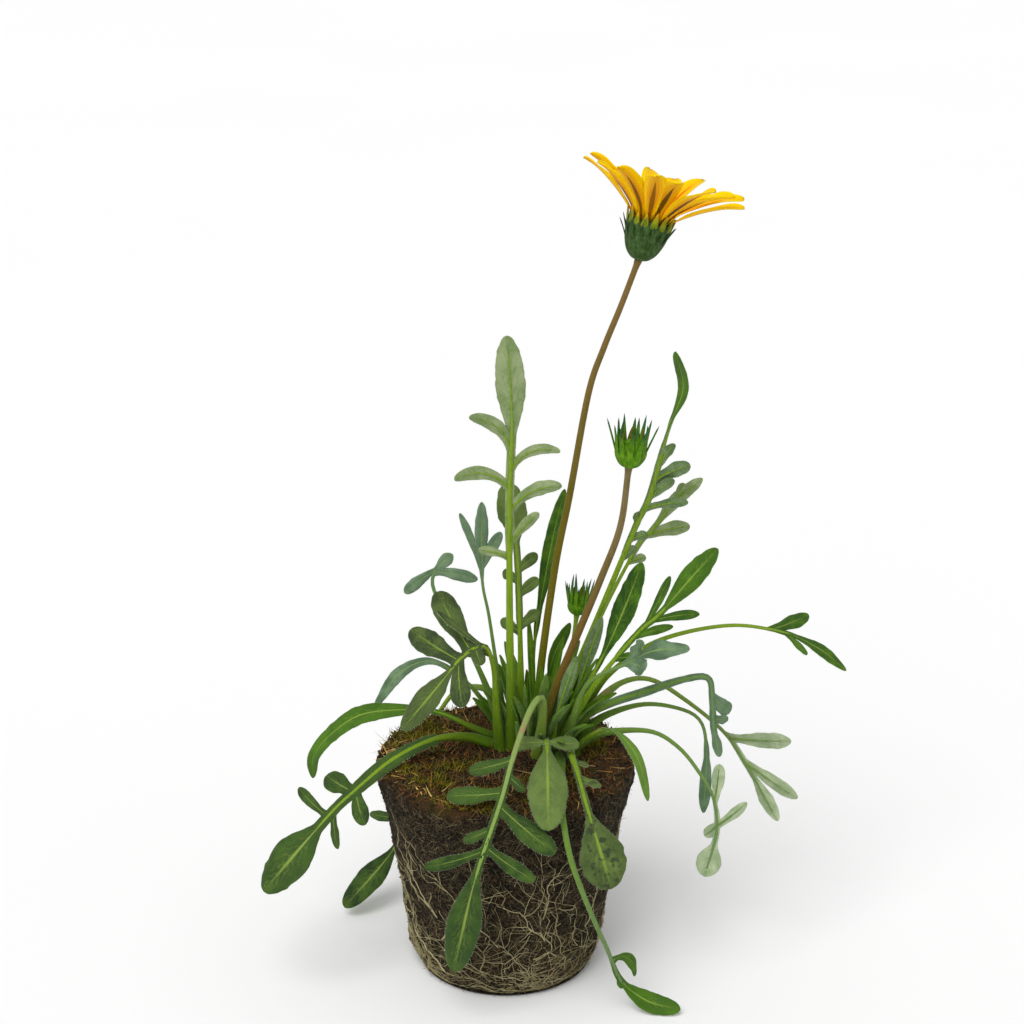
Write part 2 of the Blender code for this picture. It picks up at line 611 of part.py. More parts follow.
def build_rays(plant):
    """The ray florets: broad yellow straps in two layers, joined in one ring inside the cup."""
    radius, height = RAY_LINE[0]
    foot = [(radius - 0.9, height - 0.6), (radius + 1.2, height - 0.6), (radius + 1.2, height + 0.6),
            (radius - 0.9, height + 0.6)]
    ring = turned("flower_rays", [*foot, foot[0]], RAY_COUNT, plant)
    line = ray_line()
    rays = new_collection("rays")
    draw = random.Random(7)
    for i in range(RAY_COUNT):
        turn = 2 * math.pi * i / RAY_COUNT
        out = ring_direction(turn)
        side = ring_direction(turn + math.pi / 2)
        layer = 1.05 if i % 2 else -1.05
        stretch = draw.uniform(0.94, 1.04)
        droop = draw.uniform(-1.2, 1.2)

        def place(u, v, out=out, side=side, layer=layer, stretch=stretch, droop=droop):
            k = min(int(u * 40), 39)
            spot = line[k].lerp(line[k + 1], u * 40 - k)
            settle = smooth_step((u - 0.08) / (RAY_SETTLED - 0.08))
            radius = spot.x * (1 + (stretch - 1) * settle)
            height = spot.z + (layer + droop * u) * settle
            half = RAY_WIDTH / 2.0 * spoon(u, 0.18, 0.70)
            cup = 0.25 * settle * v * v
            return out * radius + side * (v * half) + Vector((0, 0, height + cup))

        sheet(f"ray_{i}", RAY_STEPS, 2, place, RAY_THICKNESS, rays)
    joined(ring, rays)
    ring.data.materials.append(finish("ray_yellow", RAY_YELLOW, 0.5))
    return ring


def build_disc(plant):
    """The disc: a low dome inside the cup with its small florets standing out of it in rings."""
    floor = CUP_FLOOR + GAP
    profile = [(0.0, floor), (DISC_RADIUS, floor), (DISC_RADIUS, DISC_TOP - 2.2), (DISC_RADIUS * 0.6, DISC_TOP - 0.9),
               (0.0, DISC_TOP - 0.4)]
    disc = turned("flower_disc", profile, 12, plant)
    florets = new_collection("florets")
    for ring in range(1, FLORET_RINGS + 1):
        radius = (DISC_RADIUS - 0.9) * ring / FLORET_RINGS
        count = 5 * ring
        for i in range(count):
            out = ring_direction(2 * math.pi * (i + 0.5 * ring) / count)
            base = out * radius + Vector((0, 0, DISC_TOP - 1.6 - 0.5 * ring))
            spike(f"floret_{ring}_{i}", base, base + Vector((0, 0, 3.4)) + out * 0.6, 1.2, 1.2, out, florets)
    joined(disc, florets)
    disc.data.materials.append(finish("disc_orange", DISC_ORANGE, 0.6))
    return disc


def build_bud(name, plant):
    """A closed bud: a green cup, its long free teeth and the rolled rays that fill it."""
    height, radius, reach, _ = BUDS[name]
    profile = [(0.0, 0.0), (radius * 0.25, 0.0), (radius * 0.72, height * 0.13), (radius, height * 0.42),
               (radius * 0.92, height * 0.70), (radius * 0.55, height * 0.92), (0.0, height)]
    body = turned(name, profile, 12, plant)
    teeth = new_collection(name + "_teeth")
    for i in range(BUD_TEETH):
        out = ring_direction(2 * math.pi * i / BUD_TEETH)
        low = height * (0.50 if i % 2 else 0.62)
        foot = out * (profile_radius(profile[1:], low) - 0.7) + Vector((0, 0, low))
        lean = math.radians(24 if i % 2 else 10)
        length = reach * (1.0 if i % 2 else 1.15)
        tip = foot + (out * math.sin(lean) + Vector((0, 0, math.cos(lean)))) * length
        spike(f"{name}_tooth_{i}", foot, tip, 1.9, 1.2, out, teeth)
    joined(body, teeth)
    body.data.materials.append(finish("bud_green", BUD_GREEN, 0.6))
    return body


def set_on_stalk(items, rib, tilt=None):
    """Stands a head's pieces on the end of its stalk, a hair above it, along the stalk's own direction or a tilt."""
    stand = bpy.data.objects.new(items[0].name + "_stand", None)
    bpy.context.scene.collection.objects.link(stand)
    along = rib.frame(1.0)[0]
    look = along if tilt is None else tilt
    stand.location = (rib.points[-1] + look * GAP + along * 0.2) * MM
    stand.rotation_mode = "QUATERNION"
    stand.rotation_quaternion = look.to_track_quat("Z", "Y")
    for item in items:
        item.parent = stand


def crown_profile():
    """The crown's outline, from the axis underneath to the axis on top."""
    return [(0.0, CROWN_FOOT), (CROWN_RADIUS - 2.0, CROWN_FOOT), (CROWN_RADIUS, CROWN_FOOT + 2.0),
            (CROWN_RADIUS, CROWN_EDGE - 1.5), (CROWN_RADIUS - 2.5, CROWN_EDGE), (0.0, CROWN_TOP)]


def build_crown(plant, cutters):
    """The crown, with a plain round seat for every stalk."""
    crown = turned("crown", crown_profile(), 28, plant)
    crown.location = CROWN_CENTRE * MM
    seats = [(leaf.seat, leaf.stalk) for leaf in LEAVES.values()]
    seats += [(stalk[0], stalk[2]) for stalk in STALKS.values()]
    pegs = new_collection("seat_cutters")
    depth = CROWN_TOP + 3.0 - SEAT_FLOOR
    for i, (seat, radius) in enumerate(seats):
        bm = bmesh.new()
        bmesh.ops.create_cone(bm, cap_ends=True, segments=6, radius1=radius + SEAT_CLEARANCE,
                              radius2=radius + SEAT_CLEARANCE, depth=depth)
        bmesh.ops.translate(bm, verts=bm.verts, vec=(*seat, SEAT_FLOOR + depth / 2.0))
        add_object(f"seat_{i}", mesh_of(bm, "seat"), pegs)
    cut = crown.modifiers.new("seats", "BOOLEAN")
    cut.operation = "DIFFERENCE"
    cut.operand_type = "COLLECTION"
    cut.collection = pegs
    cut.solver = "MANIFOLD"
    applied(crown)
    for peg in list(pegs.objects):
        bpy.data.objects.remove(peg, do_unlink=True)
    bpy.data.collections.remove(pegs)
    crown.data.materials.clear()
    crown.data.materials.append(finish("crown_tan", CROWN_TAN, 0.8))
    pocket = turned("crown_pocket", pocket_profile(), 28, cutters)
    pocket.location = CROWN_CENTRE * MM
    return pocket


def pocket_profile():
    """The hollow in the soil that the crown sits in, a little larger all round."""
    wide = CROWN_RADIUS + GAP
    low = CROWN_FOOT - GAP
    return [(0.0, low), (wide - 2.0, low), (wide, low + 2.0), (wide, SOIL_LEVEL + 12.0), (0.0, SOIL_LEVEL + 12.0)]


def root_lines(draw):
    """Slanting lines round the ball where thick roots stand out: (height, slope, wave, phase)."""
    return [(draw.uniform(2.0, 62.0), draw.uniform(-16.0, 16.0), draw.uniform(1.5, 5.0), draw.uniform(0, 6.28))
            for _ in range(ROOT_LINES)]


def build_root_ball(plant, pocket):
    """The root ball: peat in the shape of its pot, with clods, and roots raised round its lower half."""
    draw = random.Random(3)
    lines = root_lines(draw)
    top = [(0.0, SOIL_LEVEL + 1.0), (16.0, SOIL_LEVEL + 1.0), (32.0, SOIL_LEVEL + 0.8), (44.0, SOIL_LEVEL + 0.4),
           (52.0, SOIL_LEVEL - 0.4)]
    side = []
    for (r0, z0), (r1, z1) in zip(BALL_PROFILE, BALL_PROFILE[1:]):
        parts = max(1, round(abs(z0 - z1) / 6.5))
        side += [(r0 + (r1 - r0) * k / parts, z0 + (z1 - z0) * k / parts) for k in range(parts)]
    bottom = [BALL_PROFILE[-1], (18.0, 0.0), (0.0, 0.0)]
    ball = turned("root_ball", [*top, *side, *bottom], BALL_STEPS, plant)
    for vert in ball.data.vertices:
        x, y, z = vert.co / MM
        radius = math.hypot(x, y)
        if z < 2.0:
            continue
        turn = math.atan2(y, x)
        clod = noise.noise(Vector((x, y, z)) / 9.0) * SOIL_RELIEF
        ridge = 0.0
        for height, slope, wave, phase in lines:
            line = height + slope * math.sin(turn + phase) + wave * math.sin(5 * turn + 2 * phase)
            ridge = max(ridge, 1.0 - abs(z - line) / 3.2)
        lift = clod + ROOT_RELIEF * ridge * smooth_step((radius - 30.0) / 12.0)
        if z > SOIL_LEVEL - 3.0 and radius < 50.0:
            vert.co.z += clod * MM
        else:
            vert.co += Vector((x, y, 0.0)).normalized() * (lift * MM)
    cut = ball.modifiers.new("pocket", "BOOLEAN")
    cut.operation = "DIFFERENCE"
    cut.object = pocket
    cut.solver = "MANIFOLD"
    ball.data.materials.append(finish("peat", PEAT_BROWN, 0.95))
    return ball


def build_plant():
    """Every piece of the plant."""
    clear_scene()
    plant = new_collection("gazania")
    cutters = new_collection("cutters")
    cutters.hide_render = True
    pocket = build_crown(plant, cutters)
    pocket.hide_render = True
    pocket.display_type = "WIRE"
    build_root_ball(plant, pocket)
    for name, leaf in LEAVES.items():
        build_leaf(name, leaf, plant)
    ribs = {}
    for name in STALKS:
        ribs[name] = build_stalk(name, plant)[1]
    look = Vector((math.sin(HEAD_TILT_RIGHT), math.sin(HEAD_TILT_BACK), 1.0)).normalized()
    set_on_stalk([build_cup(plant), build_rays(plant), build_disc(plant)], ribs["flower_stalk"], look)
    for name in BUDS:
        set_on_stalk([build_bud(name, plant)], ribs[BUDS[name][3]])


build_plant()
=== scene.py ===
# %% [markdown]
# # A gazania on its own root ball
# This lesson dresses the solids of a bedding gazania: felted, lobed leaves, one open flower, two buds,
# and the peat and roots that kept the shape of the pot. The packed solids give every place and size.
# Each finer piece grows along the same rib as the solid it stands for, so nothing has to be fitted.

# %% Load the packed solids
import math
import random
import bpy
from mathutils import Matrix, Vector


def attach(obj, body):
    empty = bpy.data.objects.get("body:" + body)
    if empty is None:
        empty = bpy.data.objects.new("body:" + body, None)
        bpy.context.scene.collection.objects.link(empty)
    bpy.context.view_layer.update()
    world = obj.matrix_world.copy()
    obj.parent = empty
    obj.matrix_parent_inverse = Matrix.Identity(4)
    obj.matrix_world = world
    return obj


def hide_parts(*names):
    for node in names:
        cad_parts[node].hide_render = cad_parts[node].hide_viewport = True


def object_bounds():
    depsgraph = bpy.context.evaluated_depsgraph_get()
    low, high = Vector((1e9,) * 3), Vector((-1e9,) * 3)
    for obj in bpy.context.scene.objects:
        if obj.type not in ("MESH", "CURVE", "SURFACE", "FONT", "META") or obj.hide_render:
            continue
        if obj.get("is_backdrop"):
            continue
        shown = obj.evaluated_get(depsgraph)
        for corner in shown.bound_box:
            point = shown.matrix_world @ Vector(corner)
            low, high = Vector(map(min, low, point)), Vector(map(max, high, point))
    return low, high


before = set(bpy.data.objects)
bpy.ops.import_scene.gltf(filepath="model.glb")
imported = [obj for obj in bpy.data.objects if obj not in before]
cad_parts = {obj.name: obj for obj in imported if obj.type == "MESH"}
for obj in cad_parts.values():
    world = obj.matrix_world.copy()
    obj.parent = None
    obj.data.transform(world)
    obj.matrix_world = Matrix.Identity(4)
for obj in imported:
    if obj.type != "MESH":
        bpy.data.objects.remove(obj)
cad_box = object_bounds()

from types import SimpleNamespace

import bpy
import numpy as np
from mathutils import Matrix, Vector, noise

MM = 0.001
print("solids:", len(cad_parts), "box:", [round(v / MM) for corner in cad_box for v in corner])

# %% [markdown]
# ## Small helpers
# Lengths are easier to judge in millimetres, so the shapes are worked out in millimetres and turned into
# metres only when a mesh is made. Colours are written as the eye sees them and changed to linear light.

# %% Numbers and colours
UP = np.array([0.0, 0.0, 1.0])
NEARLY_NOTHING = 1e-9


def smooth_step(value):
    """0 below 0, 1 above 1, and a soft rise between."""
    t = min(1.0, max(0.0, value))
    return t * t * (3.0 - 2.0 * t)


def tint(red, green, blue):
    """A linear colour from 0 to 255 values, by the sRGB curve."""
    parts = [c / 255.0 for c in (red, green, blue)]
    return (*[p / 12.92 if p <= 0.04045 else ((p + 0.055) / 1.055) ** 2.4 for p in parts], 1.0)


def unit(vector):
    """The same direction with length 1, for one vector or for rows of them."""
    return vector / np.maximum(np.linalg.norm(vector, axis=-1, keepdims=True), NEARLY_NOTHING)


def ring_way(turn):
    """A level direction at this angle."""
    return np.array([math.cos(turn), math.sin(turn), 0.0])


def ring_turns(count):
    """The angles of a ring's points, in the order that turns its faces outwards."""
    return -np.arange(count) / count * 2 * math.pi


def golden_turn(i):
    """The angle of the i-th thing in a spiral, a golden angle on from the last."""
    return i * math.pi * (3 - math.sqrt(5))


print("mid grey in linear light:", round(tint(128, 128, 128)[0], 3))

# %% [markdown]
# ## A skin made of rings
# A leaf, a petal, a stalk and a root are all the same kind of surface: a ring that travels along a line and
# changes shape on the way. A flat ring gives a blade, a round one a stalk. Building rings directly gives
# full control of the edge, which a thickened plane doesn't. Every point carries three marks for its colour:
# how far across the piece it is, how far along, and a number that differs from piece to piece.

# %% Rings and meshes
MARKS = "marks"


class Skin:
    """Collects rings of points into one mesh, in millimetres."""

    def __init__(self):
        self.points = []
        self.marks = []
        self.faces = []
        self.slots = []
        self.count = 0

    def rings(self, rings, marks, slots):
        """Joins ring after ring and closes both ends. slots gives a material number for each gap."""
        steps, size = rings.shape[:2]
        start = self.count
        i = np.arange(steps - 1)[:, None] * size + start
        j = np.arange(size)[None, :]
        k = (j + 1) % size
        quads = np.stack([i + j, i + k, i + size + k, i + size + j], -1).reshape(-1, 4)
        self.faces += quads.tolist()
        self.slots += list(np.tile(slots, steps - 1))
        self.faces.append(list(range(start + size - 1, start - 1, -1)))
        last = start + (steps - 1) * size
        self.faces.append(list(range(last, last + size)))
        self.slots += [int(slots[-1])] * 2
        self._keep(rings.reshape(-1, 3), marks.reshape(-1, 3))

    def loose(self, points, marks, faces, slot):
        """Adds faces as they are, such as hairs."""
        self.faces += (np.asarray(faces) + self.count).tolist()
        self.slots += [slot] * len(faces)
        self._keep(points, marks)

    def _keep(self, points, marks):
        self.points.append(points)
        self.marks.append(marks)
        self.count += len(points)

    def piece(self, name, finishes):
        """A mesh object of everything collected."""
        mesh = bpy.data.meshes.new(name)
        points = np.concatenate(self.points) * MM
        mesh.from_pydata(points.tolist(), [], self.faces)
        marks = mesh.attributes.new(MARKS, "FLOAT_VECTOR", "POINT")
        marks.data.foreach_set("vector", np.concatenate(self.marks).astype(np.float32).ravel())
        for finish in finishes:
            mesh.materials.append(finish)
        mesh.polygons.foreach_set("material_index", np.array(self.slots, np.int32))
        mesh.polygons.foreach_set("use_smooth", np.full(len(self.faces), True))
        mesh.update()
        item = bpy.data.objects.new(name, mesh)
        bpy.context.scene.collection.objects.link(item)
        return item


def grown(skin, name, finishes, slot, *nodes):
    """Makes the piece and lets it stand for its solids."""
    item = skin.piece(name, finishes)
    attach(item, "root")
    if nodes:
        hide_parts(*nodes)
    return item


print("each point's marks are kept in the attribute", MARKS)

# %% [markdown]
# ## Blades
# A blade's ring runs over the upper face from edge to edge and back underneath. Its height across the width
# holds the fold along the midrib, the groove over it, the rolled margins and the waves. The points stand closer
# near the edges, where a leaf curves most.

# %% Blade rings
UPPER_SLOT, LOWER_SLOT, STEM_SLOT, HAIR_SLOT = range(4)
COLUMNS = 11
BLADE_COLUMNS = np.sin(np.linspace(-0.5, 0.5, COLUMNS) * math.pi)
BLADE_SLOTS = np.array([UPPER_SLOT] * (COLUMNS - 1) + [LOWER_SLOT] * (COLUMNS - 1))
EDGE_THINNING = 0.94


def tip_steps(count, crowding=1.6):
    """Shares from 0 to 1 that crowd together near 1, so that a tip comes out round."""
    return 1.0 - (1.0 - np.linspace(0.0, 1.0, count)) ** crowding


def blade_rings(centres, sides, normals, widths, depths, relief):
    """Rings of a flat blade. relief(v, k) lifts the point at v, from -1 to 1 across station k."""
    rings = []
    for k in range(len(centres)):
        v = BLADE_COLUMNS
        edge = np.sqrt(1.0 - EDGE_THINNING * v ** 6)
        lift = relief(v, k)
        flat = centres[k] + np.outer(v * widths[k], sides[k])
        upper = flat + np.outer(lift + edge * depths[k] / 2, normals[k])
        lower = flat + np.outer(lift - edge * depths[k] / 2, normals[k])
        rings.append(np.concatenate([upper, lower[-2:0:-1]]))
    return np.array(rings)


def blade_marks(alongs, number):
    """Marks for a blade's rings: across, along and the piece's own number."""
    across = np.concatenate([BLADE_COLUMNS, BLADE_COLUMNS[-2:0:-1]])
    grid = np.empty((len(alongs), len(across), 3))
    grid[..., 0] = across
    grid[..., 1] = np.array(alongs)[:, None]
    grid[..., 2] = number
    return grid


def add_blade(skin, centres, sides, normals, widths, depths, relief, alongs, number):
    """Adds a blade with its marks and returns its rings."""
    rings = blade_rings(centres, sides, normals, widths, depths, relief)
    skin.rings(rings, blade_marks(alongs, number), BLADE_SLOTS)
    return rings


print("points in a blade's ring:", len(BLADE_SLOTS))

# %% [markdown]
# ## Rods
# Stalks, roots and florets are rods: a round ring carried along a line. A leaf stalk is a little flattened and
# has a channel on top. Where a rod has no upper side, its ring is carried along without a twist.

# %% Rod rings
CHANNEL_WIDTH = 0.45
CHANNEL_FROM = 0.2


def rod_rings(centres, sides, normals, radii, count=10, channel=0.0, flatten=1.0):
    """Rings of a rod. channel hollows its upper side and flatten squashes it top to bottom."""
    turn = ring_turns(count)
    rings = []
    for k in range(len(centres)):
        x = np.cos(turn)
        y = np.sin(turn) * flatten
        y = y - channel * np.exp(-(x / CHANNEL_WIDTH) ** 2) * (np.sin(turn) > CHANNEL_FROM)
        rings.append(centres[k] + np.outer(x * radii[k], sides[k]) + np.outer(y * radii[k], normals[k]))
    return np.array(rings)


def rod_marks(alongs, number, count=10):
    """Marks for a rod's rings."""
    grid = np.empty((len(alongs), count, 3))
    grid[..., 0] = np.arange(count) / count
    grid[..., 1] = np.array(alongs)[:, None]
    grid[..., 2] = number
    return grid


def carried_frames(points, start):
    """Sideways and upward directions carried along a line without twist."""
    points = np.asarray(points, float)
    along = unit(np.gradient(points, axis=0))
    sides = []
    side = np.asarray(start, float)
    for direction in along:
        side = unit(side - direction * side.dot(direction))
        sides.append(side)
    sides = np.array(sides)
    return sides, np.cross(sides, along)


def add_rod(skin, centres, sides, normals, radii, alongs, number, count, slot=0, **shape):
    """Adds a rod with its marks, all in one finish."""
    rings = rod_rings(centres, sides, normals, radii, count, **shape)
    skin.rings(rings, rod_marks(alongs, number, count), np.full(count, slot))


print("a channel's width, as a share of the stalk's radius:", CHANNEL_WIDTH)

# %% [markdown]
# ## Ribs
# A leaf's shape hangs on its rib: the stalk and midrib as one smooth line. The points are the same as those
# the solids follow. A Catmull-Rom curve passes through every point, so the line bends where the leaf does,
# and it is resampled evenly so that a share of the length means the same thing everywhere.

# %% Smooth curves
STEPS_BETWEEN = 12


def curve_through(points, count):
    """Evenly spaced points on a smooth curve through the given ones."""
    points = [np.array(p, float) for p in points]
    knots = [points[0] * 2 - points[1], *points, points[-1] * 2 - points[-2]]
    fine = []
    for a, b, c, d in zip(knots, knots[1:], knots[2:], knots[3:]):
        for t in np.arange(STEPS_BETWEEN) / STEPS_BETWEEN:
            fine.append(0.5 * (2 * b + (c - a) * t + (2 * a - 5 * b + 4 * c - d) * t * t
                               + (3 * b - a - 3 * c + d) * t ** 3))
    return even_run(np.array([*fine, points[-1]]), count)


def even_run(line, count):
    """The same line with its points spaced evenly."""
    run = np.concatenate([[0.0], np.cumsum(np.linalg.norm(np.diff(line, axis=0), axis=1))])
    want = np.linspace(0.0, run[-1], count)
    return np.stack([np.interp(want, run, line[:, i]) for i in range(3)], -1)


def spot_along(line, share):
    """The point at this share of an evenly spaced line."""
    place = share * (len(line) - 1)
    k = min(int(place), len(line) - 2)
    return line[k] + (line[k + 1] - line[k]) * (place - k)


print("steps between two points of a rib:", STEPS_BETWEEN)

# %% [markdown]
# ## A rib in its seat
# Every stalk stands upright in its seat in the woody crown and bends only above it. The rib also says which way
# the leaf looks, and lets its tip look another way, because leaves turn over towards their ends.

# %% A rib
# Heights in the crown: the floor of a stalk's seat, and where the stalk leaves it
SEAT_FLOOR = 94.85
NECK = 101.7
# The rib's heading is read over this share of its length to each side
HEADING_REACH = 0.012
# Where the tip's own direction takes over, and over what share of the length
TIP_TURN_FROM, TIP_TURN_OVER = 0.70, 0.2


class Rib:
    """A leaf's rib or a stalk: it stands straight in the crown, then follows its route."""

    def __init__(self, seat, route, face=(0, -1, 0), tip_face=None, samples=161):
        foot = np.array([*seat, SEAT_FLOOR])
        bend = curve_through([(*seat, NECK), *route], samples)
        self.line = even_run(np.concatenate([[foot], bend]), samples)
        self.length = float(np.linalg.norm(np.diff(self.line, axis=0), axis=1).sum())
        self.face = unit(np.array(face, float))
        self.tip_face = unit(np.array(tip_face or face, float))

    def at(self, share):
        """The point at this share of the length."""
        return spot_along(self.line, min(1.0, max(0.0, share)))

    def frame(self, share):
        """The rib's heading, the leaf's sideways direction and the way its upper face looks."""
        along = unit(self.at(share + HEADING_REACH) - self.at(share - HEADING_REACH))
        turn = smooth_step((share - TIP_TURN_FROM) / TIP_TURN_OVER)
        face = self.face * (1 - turn) + self.tip_face * turn
        up = unit(face - along * face.dot(along))
        return along, np.cross(along, up), up

    def run(self, shares):
        """The points at many shares of the length, with their directions."""
        frames = [self.frame(s) for s in shares]
        centres = np.array([self.at(s) for s in shares])
        return centres, np.array([f[1] for f in frames]), np.array([f[2] for f in frames])


print("a stalk stands straight from", SEAT_FLOOR, "to", NECK, "mm")

# %% [markdown]
# ## Finishes: node helpers
# Every finish is worked out by nodes from noise, from the marks on the mesh and from the place in space, so it
# needs no picture. These helpers keep each material's own cell down to the choices that matter.

# %% Node helpers
PLANT_SHINE = 0.14


class Finish:
    """A Principled material and the short words used to build its nodes."""

    def __init__(self, name, roughness=0.6):
        self.material = bpy.data.materials.new(name)
        self.material.use_nodes = True
        self.nodes = self.material.node_tree.nodes
        self.links = self.material.node_tree.links
        self.shader = self.nodes["Principled BSDF"]
        self.shader.inputs["Roughness"].default_value = roughness
        self.shader.inputs["Specular IOR Level"].default_value = PLANT_SHINE
        self.place = self.nodes.new("ShaderNodeTexCoord").outputs["Object"]

    def set(self, **values):
        """Sets the shader's own sockets by name, with _ for a space."""
        for key, value in values.items():
            self.shader.inputs[key.replace("_", " ")].default_value = value
        return self

    def marks(self):
        """The across, along and number marks as three outputs."""
        read = self.nodes.new("ShaderNodeAttribute")
        read.attribute_name = MARKS
        split = self.nodes.new("ShaderNodeSeparateXYZ")
        self.links.new(read.outputs["Vector"], split.inputs[0])
        return split.outputs[0], split.outputs[1], split.outputs[2]

    def sum(self, kind, a, b=None, c=None):
        """A Math node. Numbers and outputs both work as inputs."""
        node = self.nodes.new("ShaderNodeMath")
        node.operation = kind
        for socket, value in zip(node.inputs, (a, b, c)):
            if value is None:
                continue
            if isinstance(value, (int, float)):
                socket.default_value = value
            else:
                self.links.new(value, socket)
        return node.outputs[0]

    def between(self, value, low, high, start=0.0, end=1.0):
        """Maps a range onto another, held inside it."""
        node = self.nodes.new("ShaderNodeMapRange")
        node.interpolation_type = "SMOOTHSTEP"
        self.links.new(value, node.inputs["Value"])
        for key, number in (("From Min", low), ("From Max", high), ("To Min", start), ("To Max", end)):
            node.inputs[key].default_value = number
        return node.outputs["Result"]

    def noise(self, scale, detail=4.0, roughness=0.55, stretch=None, where=None):
        """Noise at this many features to a metre."""
        node = self.nodes.new("ShaderNodeTexNoise")
        node.inputs["Scale"].default_value = scale
        node.inputs["Detail"].default_value = detail
        node.inputs["Roughness"].default_value = roughness
        source = where or self.place
        if stretch:
            scaled = self.nodes.new("ShaderNodeMapping")
            scaled.inputs["Scale"].default_value = stretch
            self.links.new(source, scaled.inputs["Vector"])
            source = scaled.outputs[0]
        self.links.new(source, node.inputs["Vector"])
        return node.outputs["Fac"]

    def mix(self, share, first, second):
        """Mixes two colours by a share."""
        node = self.nodes.new("ShaderNodeMix")
        node.data_type = "RGBA"
        sockets = [s for s in node.inputs if s.type == "RGBA"]
        for socket, value in ((node.inputs[0], share), (sockets[0], first), (sockets[1], second)):
            if isinstance(value, (int, float, tuple)):
                socket.default_value = value
            else:
                self.links.new(value, socket)
        return [s for s in node.outputs if s.type == "RGBA"][0]

    def bump(self, *layers):
        """Bumps in order, each a (height output, depth in millimetres)."""
        normal = None
        for height, depth in layers:
            node = self.nodes.new("ShaderNodeBump")
            node.inputs["Distance"].default_value = depth * MM
            node.inputs["Strength"].default_value = 1.0
            self.links.new(height, node.inputs["Height"])
            if normal is not None:
                self.links.new(normal, node.inputs["Normal"])
            normal = node.outputs[0]
        self.links.new(normal, self.shader.inputs["Normal"])
        return self

    def colour(self, output):
        """Sets the base colour and returns the material."""
        self.links.new(output, self.shader.inputs["Base Color"])
        return self.material

    def rough(self, output):
        """Drives the roughness."""
        self.links.new(output, self.shader.inputs["Roughness"])
        return self


print("what a finish can do:", [word for word in vars(Finish) if word[0] != "_"])

# %% [markdown]
# ## The upper face of a leaf
# A gazania leaf is dull green above, with a pale yellow-green midrib and faint side veins. The marks say where
# the midrib and margins are, so one set of nodes fits every leaf, and the third mark shifts the tone from lobe
# to lobe. A picture could show one leaf more exactly, but would have to be unfolded onto each of them.

# %% Upper face
def leaf_upper(name, dark, light, rib, spotted=False):
    """The upper face: mottled green, a pale midrib and faint side veins."""
    f = Finish(name, 0.52)
    across, along, number = f.marks()
    side = f.sum("ABSOLUTE", across)
    cloud = f.noise(120, 5.0)
    body = f.mix(f.between(cloud, 0.36, 0.66), dark, light)
    body = f.mix(f.between(along, 0.25, 0.90, 0.30, 0.0), body, dark)
    worn = f.between(f.noise(310, 4.0), 0.52, 0.68, 0.0, 0.45)
    body = f.mix(worn, body, dark)
    tone = f.sum("MULTIPLY_ADD", number, 0.30, -0.15)
    body = f.mix(f.between(tone, -0.15, 0.15, 0.0, 0.5), body, light)
    slant = f.sum("MULTIPLY_ADD", along, 26.0, f.sum("MULTIPLY", side, -9.0))
    wobble = f.sum("MULTIPLY_ADD", f.noise(260, 3.0), 9.0, slant)
    vein = f.sum("POWER", f.sum("ABSOLUTE", f.sum("SINE", wobble)), 12.0)
    vein = f.sum("MULTIPLY", vein, f.between(side, 0.05, 0.8, 0.26, 0.0))
    body = f.mix(vein, body, rib)
    midrib = f.between(side, 0.03, 0.11, 1.0, 0.0)
    midrib = f.sum("MULTIPLY", midrib, f.between(along, 0.50, 0.95, 0.85, 0.15))
    body = f.mix(midrib, body, rib)
    body = f.mix(f.between(side, 0.88, 1.0, 0.0, 0.45), body, light)
    speck = f.between(f.noise(900, 2.0), 0.66, 0.74, 0.0, 0.35)
    body = f.mix(speck, body, dark)
    if spotted:
        blot = f.between(f.noise(260, 2.0), 0.52, 0.62, 0.0, 0.75)
        blot = f.sum("MULTIPLY", blot, f.between(side, 0.55, 0.95, 1.0, 0.0))
        body = f.mix(blot, body, tint(40, 50, 34))
        rust = f.between(f.noise(330, 1.0), 0.765, 0.79, 0.0, 0.9)
        body = f.mix(rust, body, tint(190, 120, 50))
    down = f.noise(5200, 2.0)
    body = f.mix(f.between(down, 0.55, 0.75, 0.0, 0.12), body, tint(150, 170, 130))
    f.bump((vein, 0.35), (f.noise(900, 3.0), 0.25), (down, 0.10))
    f.set(Sheen_Weight=0.05, Sheen_Roughness=0.5)
    f.rough(f.between(cloud, 0.3, 0.7, 0.48, 0.64))
    return f.colour(body)


RIB_LIGHT = tint(132, 160, 58)
UPPER = {
    "green": leaf_upper("leaf green above", tint(34, 70, 6), tint(74, 114, 18), RIB_LIGHT),
    "shade": leaf_upper("young leaf above", tint(62, 104, 2), tint(98, 138, 14), tint(128, 158, 30)),
    "deep": leaf_upper("leaf deep green above", tint(28, 54, 12), tint(64, 92, 30), tint(136, 158, 70)),
    "olive": leaf_upper("leaf olive above", tint(44, 60, 28), tint(80, 98, 48), RIB_LIGHT),
    "dusty": leaf_upper("leaf dusty above", tint(66, 86, 38), tint(100, 122, 60), tint(132, 156, 60)),
    "blue": leaf_upper("leaf grey green above", tint(72, 98, 70), tint(110, 136, 104), tint(130, 156, 84)),
    "young": leaf_upper("leaf young green above", tint(66, 104, 24), tint(98, 134, 46), tint(146, 174, 72)),
    "mottled": leaf_upper("leaf mottled above", tint(62, 80, 38), tint(92, 112, 54), RIB_LIGHT, spotted=True),
}
print("upper faces:", ", ".join(UPPER))

# %% [markdown]
# ## Felt beneath
# The underside wears matted white hairs that only the green midrib and the main veins break. Real hairs would
# need a million strands, so a fine, stretched noise mottles it, and a soft sheen gives the felt its pale edge.

